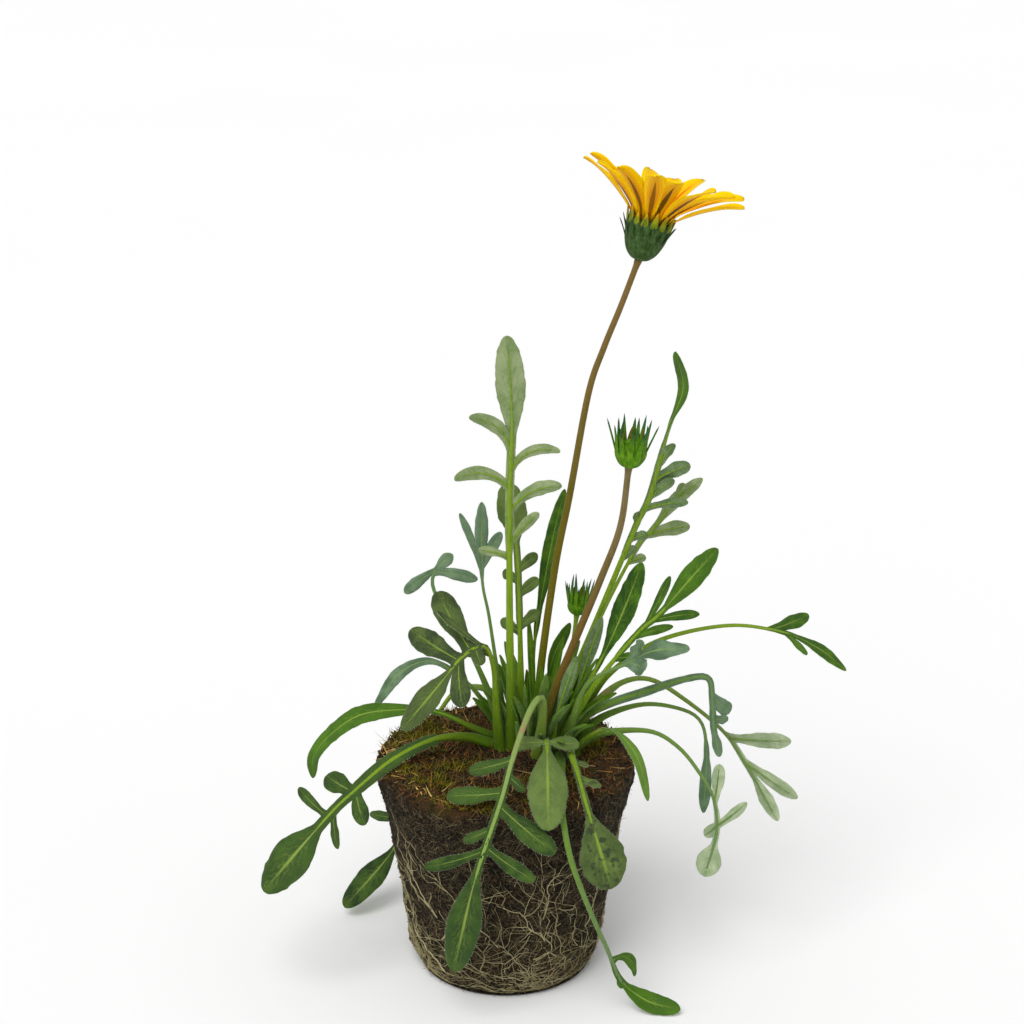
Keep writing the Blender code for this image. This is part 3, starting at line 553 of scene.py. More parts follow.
# %% Lower face
def leaf_lower(name, felt, shade, rib):
    """The lower face: matted felt, with the midrib and main veins showing through."""
    f = Finish(name, 0.85)
    across, along, _ = f.marks()
    side = f.sum("ABSOLUTE", across)
    felted = f.mix(f.between(f.noise(160, 4.0), 0.35, 0.70), shade, felt)
    slant = f.sum("MULTIPLY_ADD", along, 24.0, f.sum("MULTIPLY", side, -9.0))
    vein = f.sum("POWER", f.sum("ABSOLUTE", f.sum("SINE", slant)), 7.0)
    vein = f.sum("MULTIPLY", vein, f.between(side, 0.05, 0.85, 0.34, 0.0))
    felted = f.mix(vein, felted, rib)
    felted = f.mix(f.between(side, 0.03, 0.13, 0.55, 0.0), felted, rib)
    felted = f.mix(f.between(side, 0.86, 1.0, 0.0, 0.35), felted, shade)
    matted = f.noise(2600, 4.0, stretch=(1.0, 1.0, 0.35))
    felted = f.mix(f.between(matted, 0.4, 0.7, 0.0, 0.25), felted, tint(176, 188, 156))
    f.bump((vein, 0.35), (matted, 0.20))
    f.set(Sheen_Weight=0.12, Sheen_Roughness=0.4)
    return f.colour(felted)


LOWER = {
    "felt": leaf_lower("leaf felt beneath", tint(148, 162, 116), tint(114, 136, 82), tint(98, 130, 34)),
    "thin": leaf_lower("leaf thin felt beneath", tint(116, 140, 96), tint(84, 112, 64), tint(92, 124, 36)),
    "white": leaf_lower("leaf white felt beneath", tint(176, 188, 152), tint(138, 158, 118),
                        tint(112, 142, 62)),
    "shade": leaf_lower("young leaf beneath", tint(98, 134, 26), tint(66, 104, 6), tint(116, 148, 26)),
}
print("lower faces:", ", ".join(LOWER))

# %% [markdown]
# ## Stalk finishes
# Leaf stalks are deep green where they leave the crown, partly their own colour and partly painted shade, then
# yellow-green, and greyer higher up, under short white hairs.
# Flower stalks are olive-brown, ruddier on the bud. The along mark drives the change up the stalk.

# %% Stalk finishes
BLUSH_FADE = 0.04


def stalk_finish(name, foot, middle, head, streak, blush=None):
    """A stalk that changes colour from foot to head, perhaps with a reddish patch."""
    f = Finish(name, 0.48)
    _, along, _ = f.marks()
    body = f.mix(f.between(along, 0.04, 0.34), foot, middle)
    body = f.mix(f.between(along, 0.35, 0.95), body, head)
    lines = f.noise(1500, 3.0, stretch=(1.0, 1.0, 0.06))
    body = f.mix(f.between(lines, 0.45, 0.70, 0.0, 0.5), body, streak)
    if blush:
        first, last = blush
        patch = f.sum("MULTIPLY", f.between(along, first, first + BLUSH_FADE),
                      f.between(along, last - BLUSH_FADE, last, 1.0, 0.0))
        flecks = f.noise(420, 2.0, stretch=(1.0, 1.0, 0.3))
        patch = f.sum("MULTIPLY", patch, f.between(flecks, 0.46, 0.58, 0.0, 0.8))
        body = f.mix(patch, body, tint(156, 124, 92))
    f.bump((lines, 0.25), (f.noise(3800, 2.0), 0.08))
    f.set(Sheen_Weight=0.05)
    return f.colour(body)


def hair_finish():
    """Pale silky hairs."""
    f = Finish("silky hair", 0.4)
    return f.colour(f.mix(f.noise(300, 1.0), tint(168, 184, 142), tint(206, 214, 186)))


# The leaf stalks' dark foot colours are partly their own green and partly painted shade, for where they crowd
# in the crown.
LEAF_STALK = stalk_finish("leaf stalk", tint(76, 108, 2), tint(120, 150, 24), tint(124, 152, 46),
                          tint(70, 104, 12))
GREY_STALK = stalk_finish("grey leaf stalk", tint(80, 112, 8), tint(104, 136, 52), tint(104, 132, 84),
                          tint(80, 108, 56))
PALE_STALK = stalk_finish("pale leaf stalk", tint(108, 136, 36), tint(132, 154, 84), tint(128, 158, 56),
                          tint(112, 132, 62), blush=(0.27, 0.39))
BLUSH_STALK = stalk_finish("blushing leaf stalk", tint(104, 128, 30), tint(122, 148, 58), tint(110, 138, 80),
                           tint(90, 118, 50), blush=(0.12, 0.26))
STEMS = {"fresh": LEAF_STALK, "grey": GREY_STALK, "pale": PALE_STALK, "blush": BLUSH_STALK}
FLOWER_STALK = stalk_finish("flower stalk", tint(88, 104, 2), tint(106, 94, 0), tint(120, 94, 48),
                            tint(78, 82, 2))
BUD_STALK = stalk_finish("bud stalk", tint(96, 106, 6), tint(108, 82, 26), tint(122, 106, 66),
                         tint(80, 72, 16))
HAIR = hair_finish()
print("leaf stalks:", ", ".join(STEMS))

# %% [markdown]
# ## The upright leaves
# Each leaf is one entry: where it sits on the crown, the route of its rib, the way its upper face looks, where
# its end lobe starts and how wide it is, and its side lobes. A lobe is (where along the rib, side, length,
# width, angle from the rib) and, where it arches, the degrees it turns from foot to tip. Entries are easier to
# mend than meshes. The tall leaves come first, with the two that bend over to the left.

# %% Upright leaves
SLOT_OF = {"blue": "leaf_felt", "olive": "leaf_olive", "dusty": "leaf_olive", "mottled": "leaf_olive"}


def leaf(seat, route, face, blade, stalk=1.5, lobes=(), curl=-25.0, wing=None, upper="green", lower="felt",
         tip_face=None, slot=None, wave=0.10, lobe_tilt=0.0, stem=None):
    """One leaf's own values. blade is where the end lobe starts, as a share of the rib, and its width."""
    blade_from, blade_width = blade
    slot = slot or SLOT_OF.get(upper, "leaf_green")
    return SimpleNamespace(**locals())


LEAVES = {
    "leaf_tall": leaf(
        (3.0, 1.5), [(2.5, 0, 130), (2, -2, 164), (2, -6, 222), (3, -12, 259), (1, -18, 296)],
        (0.0, 1.0, 0.25), (0.73, 12.5), stalk=1.9, curl=-12.0, slot="leaf_felt", wave=0.05,
        lobes=[(0.72, 1, 30, 6.5, 38, 85), (0.678, -1, 28, 5, 52, 100), (0.645, 1, 27, 6.5, 72, 95),
               (0.595, -1, 27, 6.5, 56, 60), (0.52, -1, 20, 5, 38), (0.49, 1, 14, 4.5, 72)],
    ),
    "leaf_rear_upright": leaf(
        (7.0, 11.0), [(7, 13, 120), (6.5, 16, 150), (5, 18, 190), (1, 20, 219)],
        (0.0, -1.0, 0.2), (0.75, 13), stalk=1.5, upper="dusty",
        lobes=[(0.68, 1, 11, 5.5, 55), (0.59, 1, 11, 5.5, 55), (0.47, 1, 11, 5.5, 55),
               (0.64, -1, 8, 5, 60), (0.45, -1, 10, 5.5, 60)],
    ),
    "leaf_slender": leaf(
        (0.5, 14.0), [(-2.5, 14, 125), (-7, 13, 159), (-10, 12, 178), (-10, 9, 214)],
        (0.1, -1.0, 0.2), (0.70, 6), stalk=1.1, curl=-12.0, upper="blue", slot="leaf_green",
        lobes=[(0.72, -1, 29, 3.5, 16), (0.74, 1, 18, 5.5, 30)],
    ),
    "leaf_lance_rear": leaf(
        (11.5, 19.5), [(12, 22, 125), (14, 25, 150), (21, 27, 191), (26, 28, 213)],
        (-0.2, -1.0, 0.2), (0.42, 7), stalk=1.2, wave=0.03,
    ),
    "leaf_left_arch": leaf(
        (-2.5, 0.0), [(-4, -2, 122), (-5, -4, 142), (-9, -8, 154), (-18, -14, 152), (-29, -22, 141),
                      (-44, -28, 124)],
        (-0.3, -0.65, 0.7), (0.66, 12), stalk=1.6, curl=-10.0, upper="olive",
        lobes=[(0.60, 1, 38, 12, 104), (0.66, 1, 30, 11.5, 88), (0.545, 1, 25, 4.5, 42, 20),
               (0.66, -1, 22, 9, 46), (0.58, -1, 9, 6, 75), (0.50, -1, 11, 6, 75)],
    ),
    "leaf_left_pale": leaf(
        (0.0, 8.0), [(-4, 9, 114), (-10, 13, 130), (-20, 20, 149), (-31, 26, 165), (-31, 26, 175),
                     (-23, 24, 184)],
        (-0.1, -0.8, 0.5), (0.88, 6), stalk=1.4, curl=-10.0, upper="blue",
        lobes=[(0.89, -1, 21, 5.5, 160, 12), (0.885, 1, 20, 6, 66, 15)],
    ),
}
print("upright leaves:", len(LEAVES))

# %% [markdown]
# ## The leaves to the right
# These lean out of the crown and show their dull green faces or, where they turn over, the pale felt. One is
# folded along its midrib, which a larger wave and an upward curl of its lobes give.

# %% Leaves to the right
LEAVES |= {
    "leaf_right_tall": leaf(
        (20.5, 14.0), [(27, 15, 122), (40, 16, 156), (56, 20, 197), (63, 22, 213), (70, 25, 241),
                       (76.5, 27, 259), (72.5, 26, 276)],
        (-0.3, 0.9, 0.3), (0.80, 8), stalk=1.7, tip_face=(-0.8, -0.6, 0.15), slot="leaf_felt", lower="thin",
        lobes=[(0.69, -1, 17, 7.5, 54), (0.62, -1, 20, 5, 58), (0.72, -1, 13, 5.5, 16), (0.645, -1, 14, 6, 30),
               (0.585, 1, 6, 3.5, 40), (0.49, -1, 9, 5, 20), (0.545, -1, 8, 4.5, 60)],
    ),
    "leaf_right_felt": leaf(
        (24.5, 23.0), [(31, 26, 122), (42, 30, 151), (58, 36, 182), (65, 38, 190), (75, 40, 203),
                       (87, 42, 213)],
        (0.2, 0.9, 0.3), (0.76, 7), stalk=1.3, slot="leaf_felt",
        lobes=[(0.74, -1, 20, 7, 26), (0.64, -1, 8, 4, 45), (0.90, 1, 8, 4, 35)],
    ),
    "leaf_right_dark": leaf(
        (21.0, 8.5), [(27, 5, 115), (35, 3, 130), (43, 2, 146), (52, 3, 168), (59, 4, 188)],
        (-0.5, -0.8, 0.3), (0.48, 11), stalk=1.4, wave=0.05,
    ),
    "leaf_right_fan": leaf(
        (21.0, 3.0), [(30, 0, 117), (42, -4, 139), (58, -7, 161), (66, -8, 169), (79, -9, 186), (90, -10, 200)],
        (-0.4, -0.7, 0.6), (0.67, 11), stalk=1.5, curl=-8.0, wave=0.05,
        lobes=[(0.63, -1, 24, 4.5, 27), (0.66, 1, 22, 4.5, 26), (0.57, 1, 20, 4, 28), (0.47, 1, 14, 5, 42)],
    ),
    "leaf_right_folded": leaf(
        (26.0, 0.0), [(29, -6, 118), (36, -12, 139), (53, -20, 152), (63, -24, 159), (78, -26, 161)],
        (-0.3, -0.5, 0.8), (0.70, 9), stalk=1.4, curl=15.0, upper="blue", wave=0.25,
        lobes=[(0.70, -1, 12, 7, 38), (0.71, 1, 13, 8, 40)],
    ),
    "leaf_far_right": leaf(
        (29.0, 20.0), [(37, 20, 115), (47, 21, 129), (68, 24, 143), (99, 27, 149), (124, 28, 145),
                       (140, 28, 137), (152.5, 27, 127)],
        (0.1, -0.4, 0.9), (0.77, 7), stalk=1.4, curl=5.0,
        lobes=[(0.745, -1, 22, 7.5, 38), (0.79, 1, 14, 4, 45)],
    ),
}
print("with those to the right:", len(LEAVES))

# %% [markdown]
# ## The leaves that hang at the right
# Older leaves give way under their own weight: they rise a little, bend and hang. Their ribs take the bend in
# several points, because with few it comes out too round.

# %% Hanging leaves
LEAVES |= {
    "leaf_hanging_kinked": leaf(
        (26.5, 6.0), [(32, 5, 112), (46, 3, 122), (61, 0, 129), (78, -2, 136), (88, -3, 137), (90, -4, 128),
                      (91, -5, 114), (94, -7, 101)],
        (0.3, -0.8, 0.5), (0.88, 5), stalk=1.3, wing=(0.25, 0.70, 4.0), upper="blue",
        lobes=[(0.76, -1, 15, 7, 42), (0.85, -1, 9, 4, 74)],
    ),
    "leaf_hanging_wide": leaf(
        (32.0, 15.0), [(39, 16, 115), (51, 18, 125), (64, 18, 127), (79, 15, 119), (97, 10, 105), (108, 4, 90),
                       (121, -4, 68)],
        (0.2, 0.9, 0.3), (0.80, 7), stalk=1.4, curl=-8.0, upper="blue", lower="white",
        stem="blush",
        lobes=[(0.69, 1, 31, 8, 58), (0.78, 1, 29, 7, 31)],
    ),
    "leaf_hanging_strap": leaf(
        (33.0, 9.5), [(42, 9, 112), (59, 8, 119), (74, 8, 118), (85.5, 6, 113), (88.5, -1, 102),
                      (87.5, -8, 74)],
        (0.3, -0.9, 0.3), (0.70, 6), stalk=1.3, upper="blue",
    ),
    "leaf_hanging_low": leaf(
        (33.0, 4.0), [(44, -1, 110), (63, -8, 114), (75, -13, 109), (84, -17, 99), (90.5, -21, 88),
                      (92, -24, 73), (87, -27, 53)],
        (0.3, 0.9, 0.2), (0.85, 11), lower="white", stalk=1.2, curl=10.0, upper="blue",
        lobes=[(0.71, 1, 17, 6, 158), (0.80, 1, 17, 4.5, 132), (0.80, -1, 8, 5, 45)],
    ),
    "leaf_right_strap": leaf(
        (31.5, -1.0), [(38, -8, 112), (45, -16, 119), (51, -24, 118), (57, -32, 111), (61, -39, 96)],
        (0.6, -0.5, 0.6), (0.35, 6.5), stalk=1.3, upper="young", wave=0.05,
    ),
}
print("with the hanging ones:", len(LEAVES))

# %% [markdown]
# ## The leaves in front
# Four leaves fall over the rim and lie against the ball. The long one trails on the ground beside it. The
# mottled one is ageing, so it gets dark blots and rusty spots.

# %% Leaves in front
LEAVES |= {
    "leaf_front_left": leaf(
        (13.5, -8.0), [(16, -10, 118), (16, -13, 132), (11, -20, 130), (4, -36, 117), (-1, -50, 104),
                       (-7, -64, 91), (-11, -67, 79), (-15, -65, 62), (-22, -61, 26)],
        (-0.1, -0.9, 0.4), (0.66, 14.5), stalk=1.6, curl=-6.0, upper="deep", stem="pale",
        lobes=[(0.41, 1, 19, 6.5, 60), (0.495, 1, 24, 8, 72), (0.59, 1, 13, 4.5, 48), (0.645, 1, 27, 5.5, 54),
               (0.45, -1, 10, 4, 60), (0.53, -1, 31, 10, 66), (0.635, -1, 25, 6.5, 74)],
    ),
    "leaf_front_round": leaf(
        (18.5, -9.5), [(18, -15, 112), (18, -26, 116), (18, -42, 112), (18, -58, 102), (18, -64, 95)],
        (0.0, -0.75, 0.65), (0.40, 17), stalk=1.5, curl=-8.0, upper="dusty", wave=0.06,
        lobe_tilt=50.0,
        lobes=[(0.36, 1, 14, 6.5, 95), (0.36, -1, 14, 7, 85)],
    ),
    "leaf_front_mottled": leaf(
        (28.0, -5.5), [(28.5, -14, 108), (29, -26, 110), (31, -38, 108), (34, -50, 101), (37, -57, 93),
                       (45, -61, 66)],
        (0.2, -0.9, 0.35), (0.62, 20), stalk=1.5, curl=-5.0, upper="mottled",
        lobes=[(0.46, -1, 10, 4, 60), (0.34, -1, 7, 4, 70)],
    ),
    "leaf_front_long": leaf(
        (23.5, -8.5), [(24, -16, 105), (24, -34, 104.5), (24, -52, 99), (27, -63, 84), (32, -64, 68),
                       (38, -62, 51), (44, -57, 34), (50, -50, 15), (62, -50, 4.5), (76, -54, 2.8)],
        (0.3, -0.7, 0.6), (0.81, 9.5), stem="grey", stalk=1.6, curl=20.0,
        lobes=[(0.75, -1, 21, 5, 28, -125), (0.80, 1, 8, 3.5, 10)],
    ),
}
print("with the front ones:", len(LEAVES))

# %% [markdown]
# ## The leaves to the left and behind
# Two straps spread over the rim, a narrow one stands behind them, and one leaf hangs down the back to the
# ground. The widest has a wing, which is green margin along its stalk.

# %% Leaves to the left and behind
LEAVES |= {
    "leaf_left_strap": leaf(
        (-4.5, 4.0), [(-17, 3, 106), (-31, -4, 108), (-49, -14, 103), (-66, -24, 92), (-77, -30, 83),
                      (-104, -42, 54)],
        (-0.3, -0.5, 0.8), (0.69, 21.5), stalk=1.5, curl=-8.0, wing=(0.25, 0.72, 8.0), upper="deep",
        lobes=[(0.58, 1, 18, 10, 80), (0.57, -1, 18, 7.5, 64), (0.69, 1, 24, 5, 88), (0.665, -1, 18, 4, 55)],
    ),
    "leaf_left_over": leaf(
        (-4.5, 12.0), [(-15, 15, 105), (-28, 18, 110), (-40, 20, 111), (-63, 22, 108), (-77, 22, 99),
                       (-86, 21, 88), (-87, 20, 77)],
        (-0.3, -0.4, 0.8), (0.2, 11), stalk=1.2, wave=0.05,
    ),
    "leaf_left_rear": leaf(
        (-2.5, 18.5), [(-9, 22, 113), (-20, 29, 123), (-34, 35, 128), (-48, 39, 120), (-60, 41, 102)],
        (-0.2, -0.6, 0.8), (0.42, 7), stalk=1.2, upper="blue",
    ),
    "leaf_rear_hanging": leaf(
        (3.0, 22.5), [(-4, 31, 112), (-12, 42, 112), (-24, 60, 101), (-36, 64, 78), (-44, 60, 49),
                      (-52, 50, 26), (-75, 30, 5)],
        (-0.3, -0.6, 0.75), (0.77, 14), stalk=1.4, upper="deep",
        lobes=[(0.715, 1, 23, 5, 80)],
    ),
}
print("with those to the left and behind:", len(LEAVES))

# %% [markdown]
# ## Young leaves
# Three plain young leaves stand in the middle. They have no lobes yet.

# %% Young leaves
LEAVES |= {
    "leaf_young_pale": leaf(
        (26.0, 11.5), [(30, 8, 115), (34, 6, 135), (42, 6, 162)],
        (0.0, 1.0, 0.2), (0.45, 6), stalk=1.1, upper="young", slot="leaf_felt", lower="thin",
    ),
    "leaf_young_small": leaf(
        (20.5, -3.5), [(22, -5, 115), (25, -8, 131), (31, -9, 150)],
        (0.0, 1.0, 0.2), (0.42, 5), stalk=1.0, upper="young", slot="leaf_felt", lower="thin",
    ),
    "leaf_young_dark": leaf(
        (19.5, 25.5), [(19, 28, 112), (21, 31, 130), (29, 32, 148)],
        (-0.2, -1.0, 0.2), (0.42, 5.5), stalk=1.0,
    ),
}
print("leaves:", len(LEAVES), "side lobes:", sum(len(one.lobes) for one in LEAVES.values()))

# %% [markdown]
# ## The shape of a blade
# A blade narrows to a neck, swells beyond the middle and rounds off, and its two halves fold slightly upwards.
# Every margin is uneven in its own way, so noise swells and nips it along its length. Sculpting would do this
# too, but not ninety times over.

# %% Blade shapes
LAMINA = 0.62
FADE_IN = 0.15
GROOVE_DEPTH, GROOVE_WIDTH = 0.16, 0.55
WAVES_ALONG, WAVE_OFFSET = 15.0, 1.3
TIP_THINNING = 0.35
RAGGED_DEPTH, RAGGED_STEP = 0.09, 3.1


def spoon(u, neck, widest):
    """Half-width share of a lobe or blade: a neck, a swell and a rounded tip."""
    if u < widest:
        return neck + (1.0 - neck) * smooth_step(u / widest)
    fall = (u - widest) / (1.0 - widest)
    return max(0.03, math.sqrt(max(0.0, 1.0 - fall ** 2.3)) * (1.0 - 0.10 * fall))


def relief_of(fold, roll, wave, widths, alongs, phase):
    """The height of a blade across its width: fold, groove, rolled margins and waves."""
    def relief(v, k):
        w = widths[k]
        side = np.abs(v)
        fade = smooth_step(alongs[k] / FADE_IN)
        swell = np.sin(alongs[k] * WAVES_ALONG + phase + np.sign(v) * WAVE_OFFSET) * wave * w * fade
        groove = -GROOVE_DEPTH * np.exp(-(v * w / GROOVE_WIDTH) ** 2) * fade
        return fold * w * side * fade + groove - roll * w * side ** 4 * fade + swell * side ** 2
    return relief


def ragged_edge(runs, draw):
    """Small swells and nips along a margin, as shares of the width."""
    shift = draw.uniform(0.0, 90.0)
    return np.array([1.0 + RAGGED_DEPTH * noise.noise(Vector((run / RAGGED_STEP + shift, 0.0, 0.0)))
                     for run in runs])


def thinned(alongs, start, over):
    """Shares of a blade's thickness, which falls off beyond start."""
    return 1.0 - TIP_THINNING * np.array([smooth_step((a - start) / over) for a in alongs])


print("a blade is", LAMINA, "mm thick")

# %% [markdown]
# ## Hairs
# Short white hairs fringe the margins and cover the stalks, and give a gazania its silvery edge. Blender's own
# hair would stay behind when the model is exported, so each hair is one slim triangle.

# %% Hairs
MARGIN_HAIRS = 3.6
MARGIN_HAIR_LENGTHS = (0.35, 1.0)
MARGIN_HAIR_HALF = 0.026
STALK_HAIR_HALF = 0.035
HAIR_SUNK = 0.92


def one_in(draw, many):
    """A number whose average is near many."""
    return many + draw.uniform(-0.5, 0.5)


def keep_hairs(skin, points, slot):
    """Adds every three points as a hair."""
    if points:
        faces = np.arange(len(points)).reshape(-1, 3)
        skin.loose(np.array(points), np.zeros((len(points), 3)), faces, slot)


def add_margin_hairs(skin, rings, normals, draw):
    """White hairs that fringe both edges of a blade."""
    last = len(BLADE_COLUMNS) - 1
    points = []
    for k in range(1, len(rings) - 2):
        for edge, inner in ((0, 1), (last, last - 1)):
            foot, ahead = rings[k, edge], rings[k + 1, edge]
            out = unit(foot - rings[k, inner])
            onward = unit(ahead - foot)
            for _ in range(round(float(np.linalg.norm(ahead - foot)) * one_in(draw, MARGIN_HAIRS))):
                root = foot + (ahead - foot) * draw.random()
                lean = unit(out + normals[k] * draw.uniform(-0.5, 0.5) + onward * draw.uniform(-0.2, 0.9))
                half = onward * MARGIN_HAIR_HALF
                points += [root - half, root + half, root + lean * draw.uniform(*MARGIN_HAIR_LENGTHS)]
    keep_hairs(skin, points, HAIR_SLOT)


def add_hairs(skin, centres, sides, normals, radii, per_mm, length, draw, slot=HAIR_SLOT):
    """Short hairs standing out of a stalk, each a slim pointed sliver."""
    steps = np.linalg.norm(np.diff(centres, axis=0), axis=1)
    points = []
    for _ in range(int(steps.sum() * per_mm)):
        k = draw.randrange(len(centres) - 1)
        share = draw.random()
        turn = draw.uniform(0, 2 * math.pi)
        out = sides[k] * math.cos(turn) + normals[k] * math.sin(turn)
        root = centres[k] * (1 - share) + centres[k + 1] * share + out * radii[k] * HAIR_SUNK
        along = unit(centres[k + 1] - centres[k])
        lean = unit(out + along * draw.uniform(-0.4, 0.8) + np.cross(along, out) * draw.uniform(-0.5, 0.5))
        half = np.cross(lean, along) * STALK_HAIR_HALF
        points += [root - half, root + half, root + lean * length * draw.uniform(0.5, 1.2)]
    keep_hairs(skin, points, slot)


print("hairs along a margin, to a millimetre:", MARGIN_HAIRS)

# %% [markdown]
# ## How a lobe grows out of its rib
# A side lobe isn't stuck on: its blade runs down onto the rib on both sides. So the ring at its foot lies along
# the rib, and only turns to face along the lobe as it leaves. A flare at the foot makes the rounded corners
# between lobe and rib, and a raised midrib runs beneath the lobe.

# %% Side lobes
LOBE_STEPS = 26
LOBE_ARCH = 12
LOBE_NECK, LOBE_WIDEST = 0.44, 0.66
LOBE_LEAVES_RIB = 6.5
LOBE_MARKS_FROM, LOBE_MARKS_RANGE = 0.42, 0.58
EDGE_FLARE, FLARE_REACH = 2.6, 1.7
MIDRIB_REACH = 0.72


def lobe_line(one, rib, spec):
    """The centre line of a side lobe, its headings and the rib's directions where it starts."""
    where, side, length, _, angle, arch = (*spec, LOBE_ARCH)[:6]
    along, across, up = rib.frame(where)
    centres = [rib.at(where)]
    headings = []
    alongs = tip_steps(LOBE_STEPS + 1)
    for first, last in zip(alongs, alongs[1:]):
        u = (first + last) / 2
        turn = math.radians(angle + arch * (u - 0.45))
        flat = along * math.cos(turn) + across * side * math.sin(turn)
        dip = math.radians(one.curl) * u
        headings.append(unit(flat * math.cos(dip) + up * math.sin(dip)))
        centres.append(centres[-1] + headings[-1] * length * (last - first))
    headings.append(headings[-1])
    return np.array(centres), np.array(headings), alongs, along, up


def add_lobe(skin, one, rib, spec, number, draw):
    """One side lobe and its midrib."""
    _, side, length, width = spec[:4]
    centres, headings, alongs, along, up = lobe_line(one, rib, spec)
    up = unit(up + along * math.tan(math.radians(one.lobe_tilt)))
    normals = unit(up - headings * (headings @ up)[:, None])
    sides = np.cross(headings, normals)
    lie = np.array([smooth_step(u * length / LOBE_LEAVES_RIB) for u in alongs])[:, None]
    sides = unit((-along * side) * (1 - lie) + sides * lie)
    skew = draw.uniform(-0.05, 0.05)
    widths = np.array([width / 2 * spoon(u, LOBE_NECK, LOBE_WIDEST + skew) for u in alongs])
    widths *= ragged_edge(alongs * length, draw)
    widths += EDGE_FLARE * np.exp(-alongs * length / FLARE_REACH)
    depths = LAMINA * thinned(alongs, 0.8, 0.2)
    wave = one.wave * draw.uniform(0.5, 1.3)
    relief = relief_of(draw.uniform(0.10, 0.22), 0.16, wave, widths, alongs, draw.uniform(0, 6.28))
    rings = add_blade(skin, centres, sides, normals, widths, depths, relief,
                      LOBE_MARKS_FROM + LOBE_MARKS_RANGE * alongs, number)
    add_margin_hairs(skin, rings, normals, draw)
    reach = slice(0, int(len(centres) * MIDRIB_REACH))
    radii = 0.50 * (1.0 - alongs[reach]) + 0.10
    low = centres[reach] - normals[reach] * (LAMINA / 2 + 0.02)
    add_rod(skin, low, sides[reach], normals[reach], radii, 0.5 + alongs[reach] / 2, number, 6, STEM_SLOT)


print("rings in a side lobe:", LOBE_STEPS + 1)

# %% [markdown]
# ## Margin and end lobe
# The green margin runs along the stalk from the lowest lobe and widens into the end lobe, so it is one blade
# from start to tip. Making the end lobe apart would leave a seam across the leaf.

# %% Margin and end lobe
LAMINA_STEP = 1.6
MARGIN_SHARE, MARGIN_LEAST = 0.8, 0.35
BLADE_NECK, BLADE_WIDEST = 0.12, 0.60


def wing_margin(wing, s):
    """The half-width of the green wing that some leaves have along their stalk."""
    start, end, width = wing
    u = min(1.0, max(0.0, (s - start) / (end - start)))
    return width / 2 * (0.45 + 0.55 * math.sin(math.pi * min(1.0, u + 0.25) / 1.25))


def add_lamina(skin, one, rib, number, draw):
    """The narrow green margin between the lobes and, at its end, the end lobe."""
    first = min([spec[0] for spec in one.lobes] + [one.blade_from])
    start = one.wing[0] if one.wing else max(0.10, first - 0.07)
    count = max(34, round(rib.length * (1 - start) / LAMINA_STEP))
    shares = start + (1.0 - start) * tip_steps(count, 1.35)
    widths = []
    for s in shares:
        margin = (one.stalk * MARGIN_SHARE + MARGIN_LEAST) * smooth_step((s - start) / 0.12)
        if one.wing:
            margin = max(margin, wing_margin(one.wing, s))
        u = (s - one.blade_from) / (1.0 - one.blade_from)
        if u > 0:
            swell = one.blade_width / 2 * spoon(u, BLADE_NECK, BLADE_WIDEST)
            margin = max(margin * (1.0 - smooth_step((u - 0.3) / 0.3)), swell)
        widths.append(max(0.06, margin))
    widths = np.array(widths) * ragged_edge(shares * rib.length, draw)
    centres, sides, normals = rib.run(shares)
    alongs = (shares - start) / (1.0 - start)
    depths = LAMINA * thinned(alongs, 0.9, 0.1)
    relief = relief_of(0.16, 0.14, one.wave, widths, alongs, draw.uniform(0, 6.28))
    rings = add_blade(skin, centres, sides, normals, widths, depths, relief,
                      np.clip((shares - one.blade_from) / (1 - one.blade_from), 0, 1), number)
    add_margin_hairs(skin, rings, normals, draw)


print("rings along a margin stand", LAMINA_STEP, "mm apart on average")

# %% [markdown]
# ## Stalk and midrib
# The stalk is broad where it sheathes the crown, slims on its way up and goes on beneath the blade as the
# midrib, until only a low ridge shows. One rod does it all, by its radius and its depth.

# %% Stalk and midrib
RIB_STEP = 2.6
RIB_END = 0.965
STALK_TAPER = 0.42
FOOT_SWELL, FOOT_REACH = 0.75, 48.0
STALK_GROOVE, STALK_FLATNESS = 0.28, 0.92
RIB_SIDES = 12


def add_rib(skin, one, rib, number):
    """The stalk and midrib: broad at the crown, thin and sunk beneath the end lobe."""
    shares = np.linspace(0.0, RIB_END, max(40, round(rib.length / RIB_STEP)))
    radii = []
    sinks = []
    for s in shares:
        u = max(0.0, (s - one.blade_from) / (1.0 - one.blade_from))
        beneath = smooth_step(u / 0.35)
        radius = one.stalk * (1.0 - STALK_TAPER * smooth_step(s / max(one.blade_from, 0.3)))
        radius *= 1.0 + FOOT_SWELL * (1.0 - smooth_step(s * rib.length / FOOT_REACH))
        radii.append(radius * (1.0 - beneath) + (0.62 - 0.45 * u) * beneath)
        sinks.append(0.15 * radius * (1.0 - beneath) + 0.42 * beneath)
    centres, sides, normals = rib.run(shares)
    centres = centres - normals * np.array(sinks)[:, None]
    add_rod(skin, centres, sides, normals, radii, shares, number, RIB_SIDES, STEM_SLOT,
            channel=STALK_GROOVE, flatten=STALK_FLATNESS)
    return centres, sides, normals, radii


print("a stalk's foot is up to", round(1.0 + FOOT_SWELL, 2), "times as thick as its middle")

# %% [markdown]
# ## Growing the leaves
# One loop grows every leaf: margin and end lobe, side lobes, rib and hairs, in one piece that stands for the
# leaf's solid. The draws are seeded by the leaf's name, so a leaf keeps its waves when another is changed.

# %% Grow each leaf
LEAF_HAIRS, LEAF_HAIR_LENGTH = 3.0, 1.1


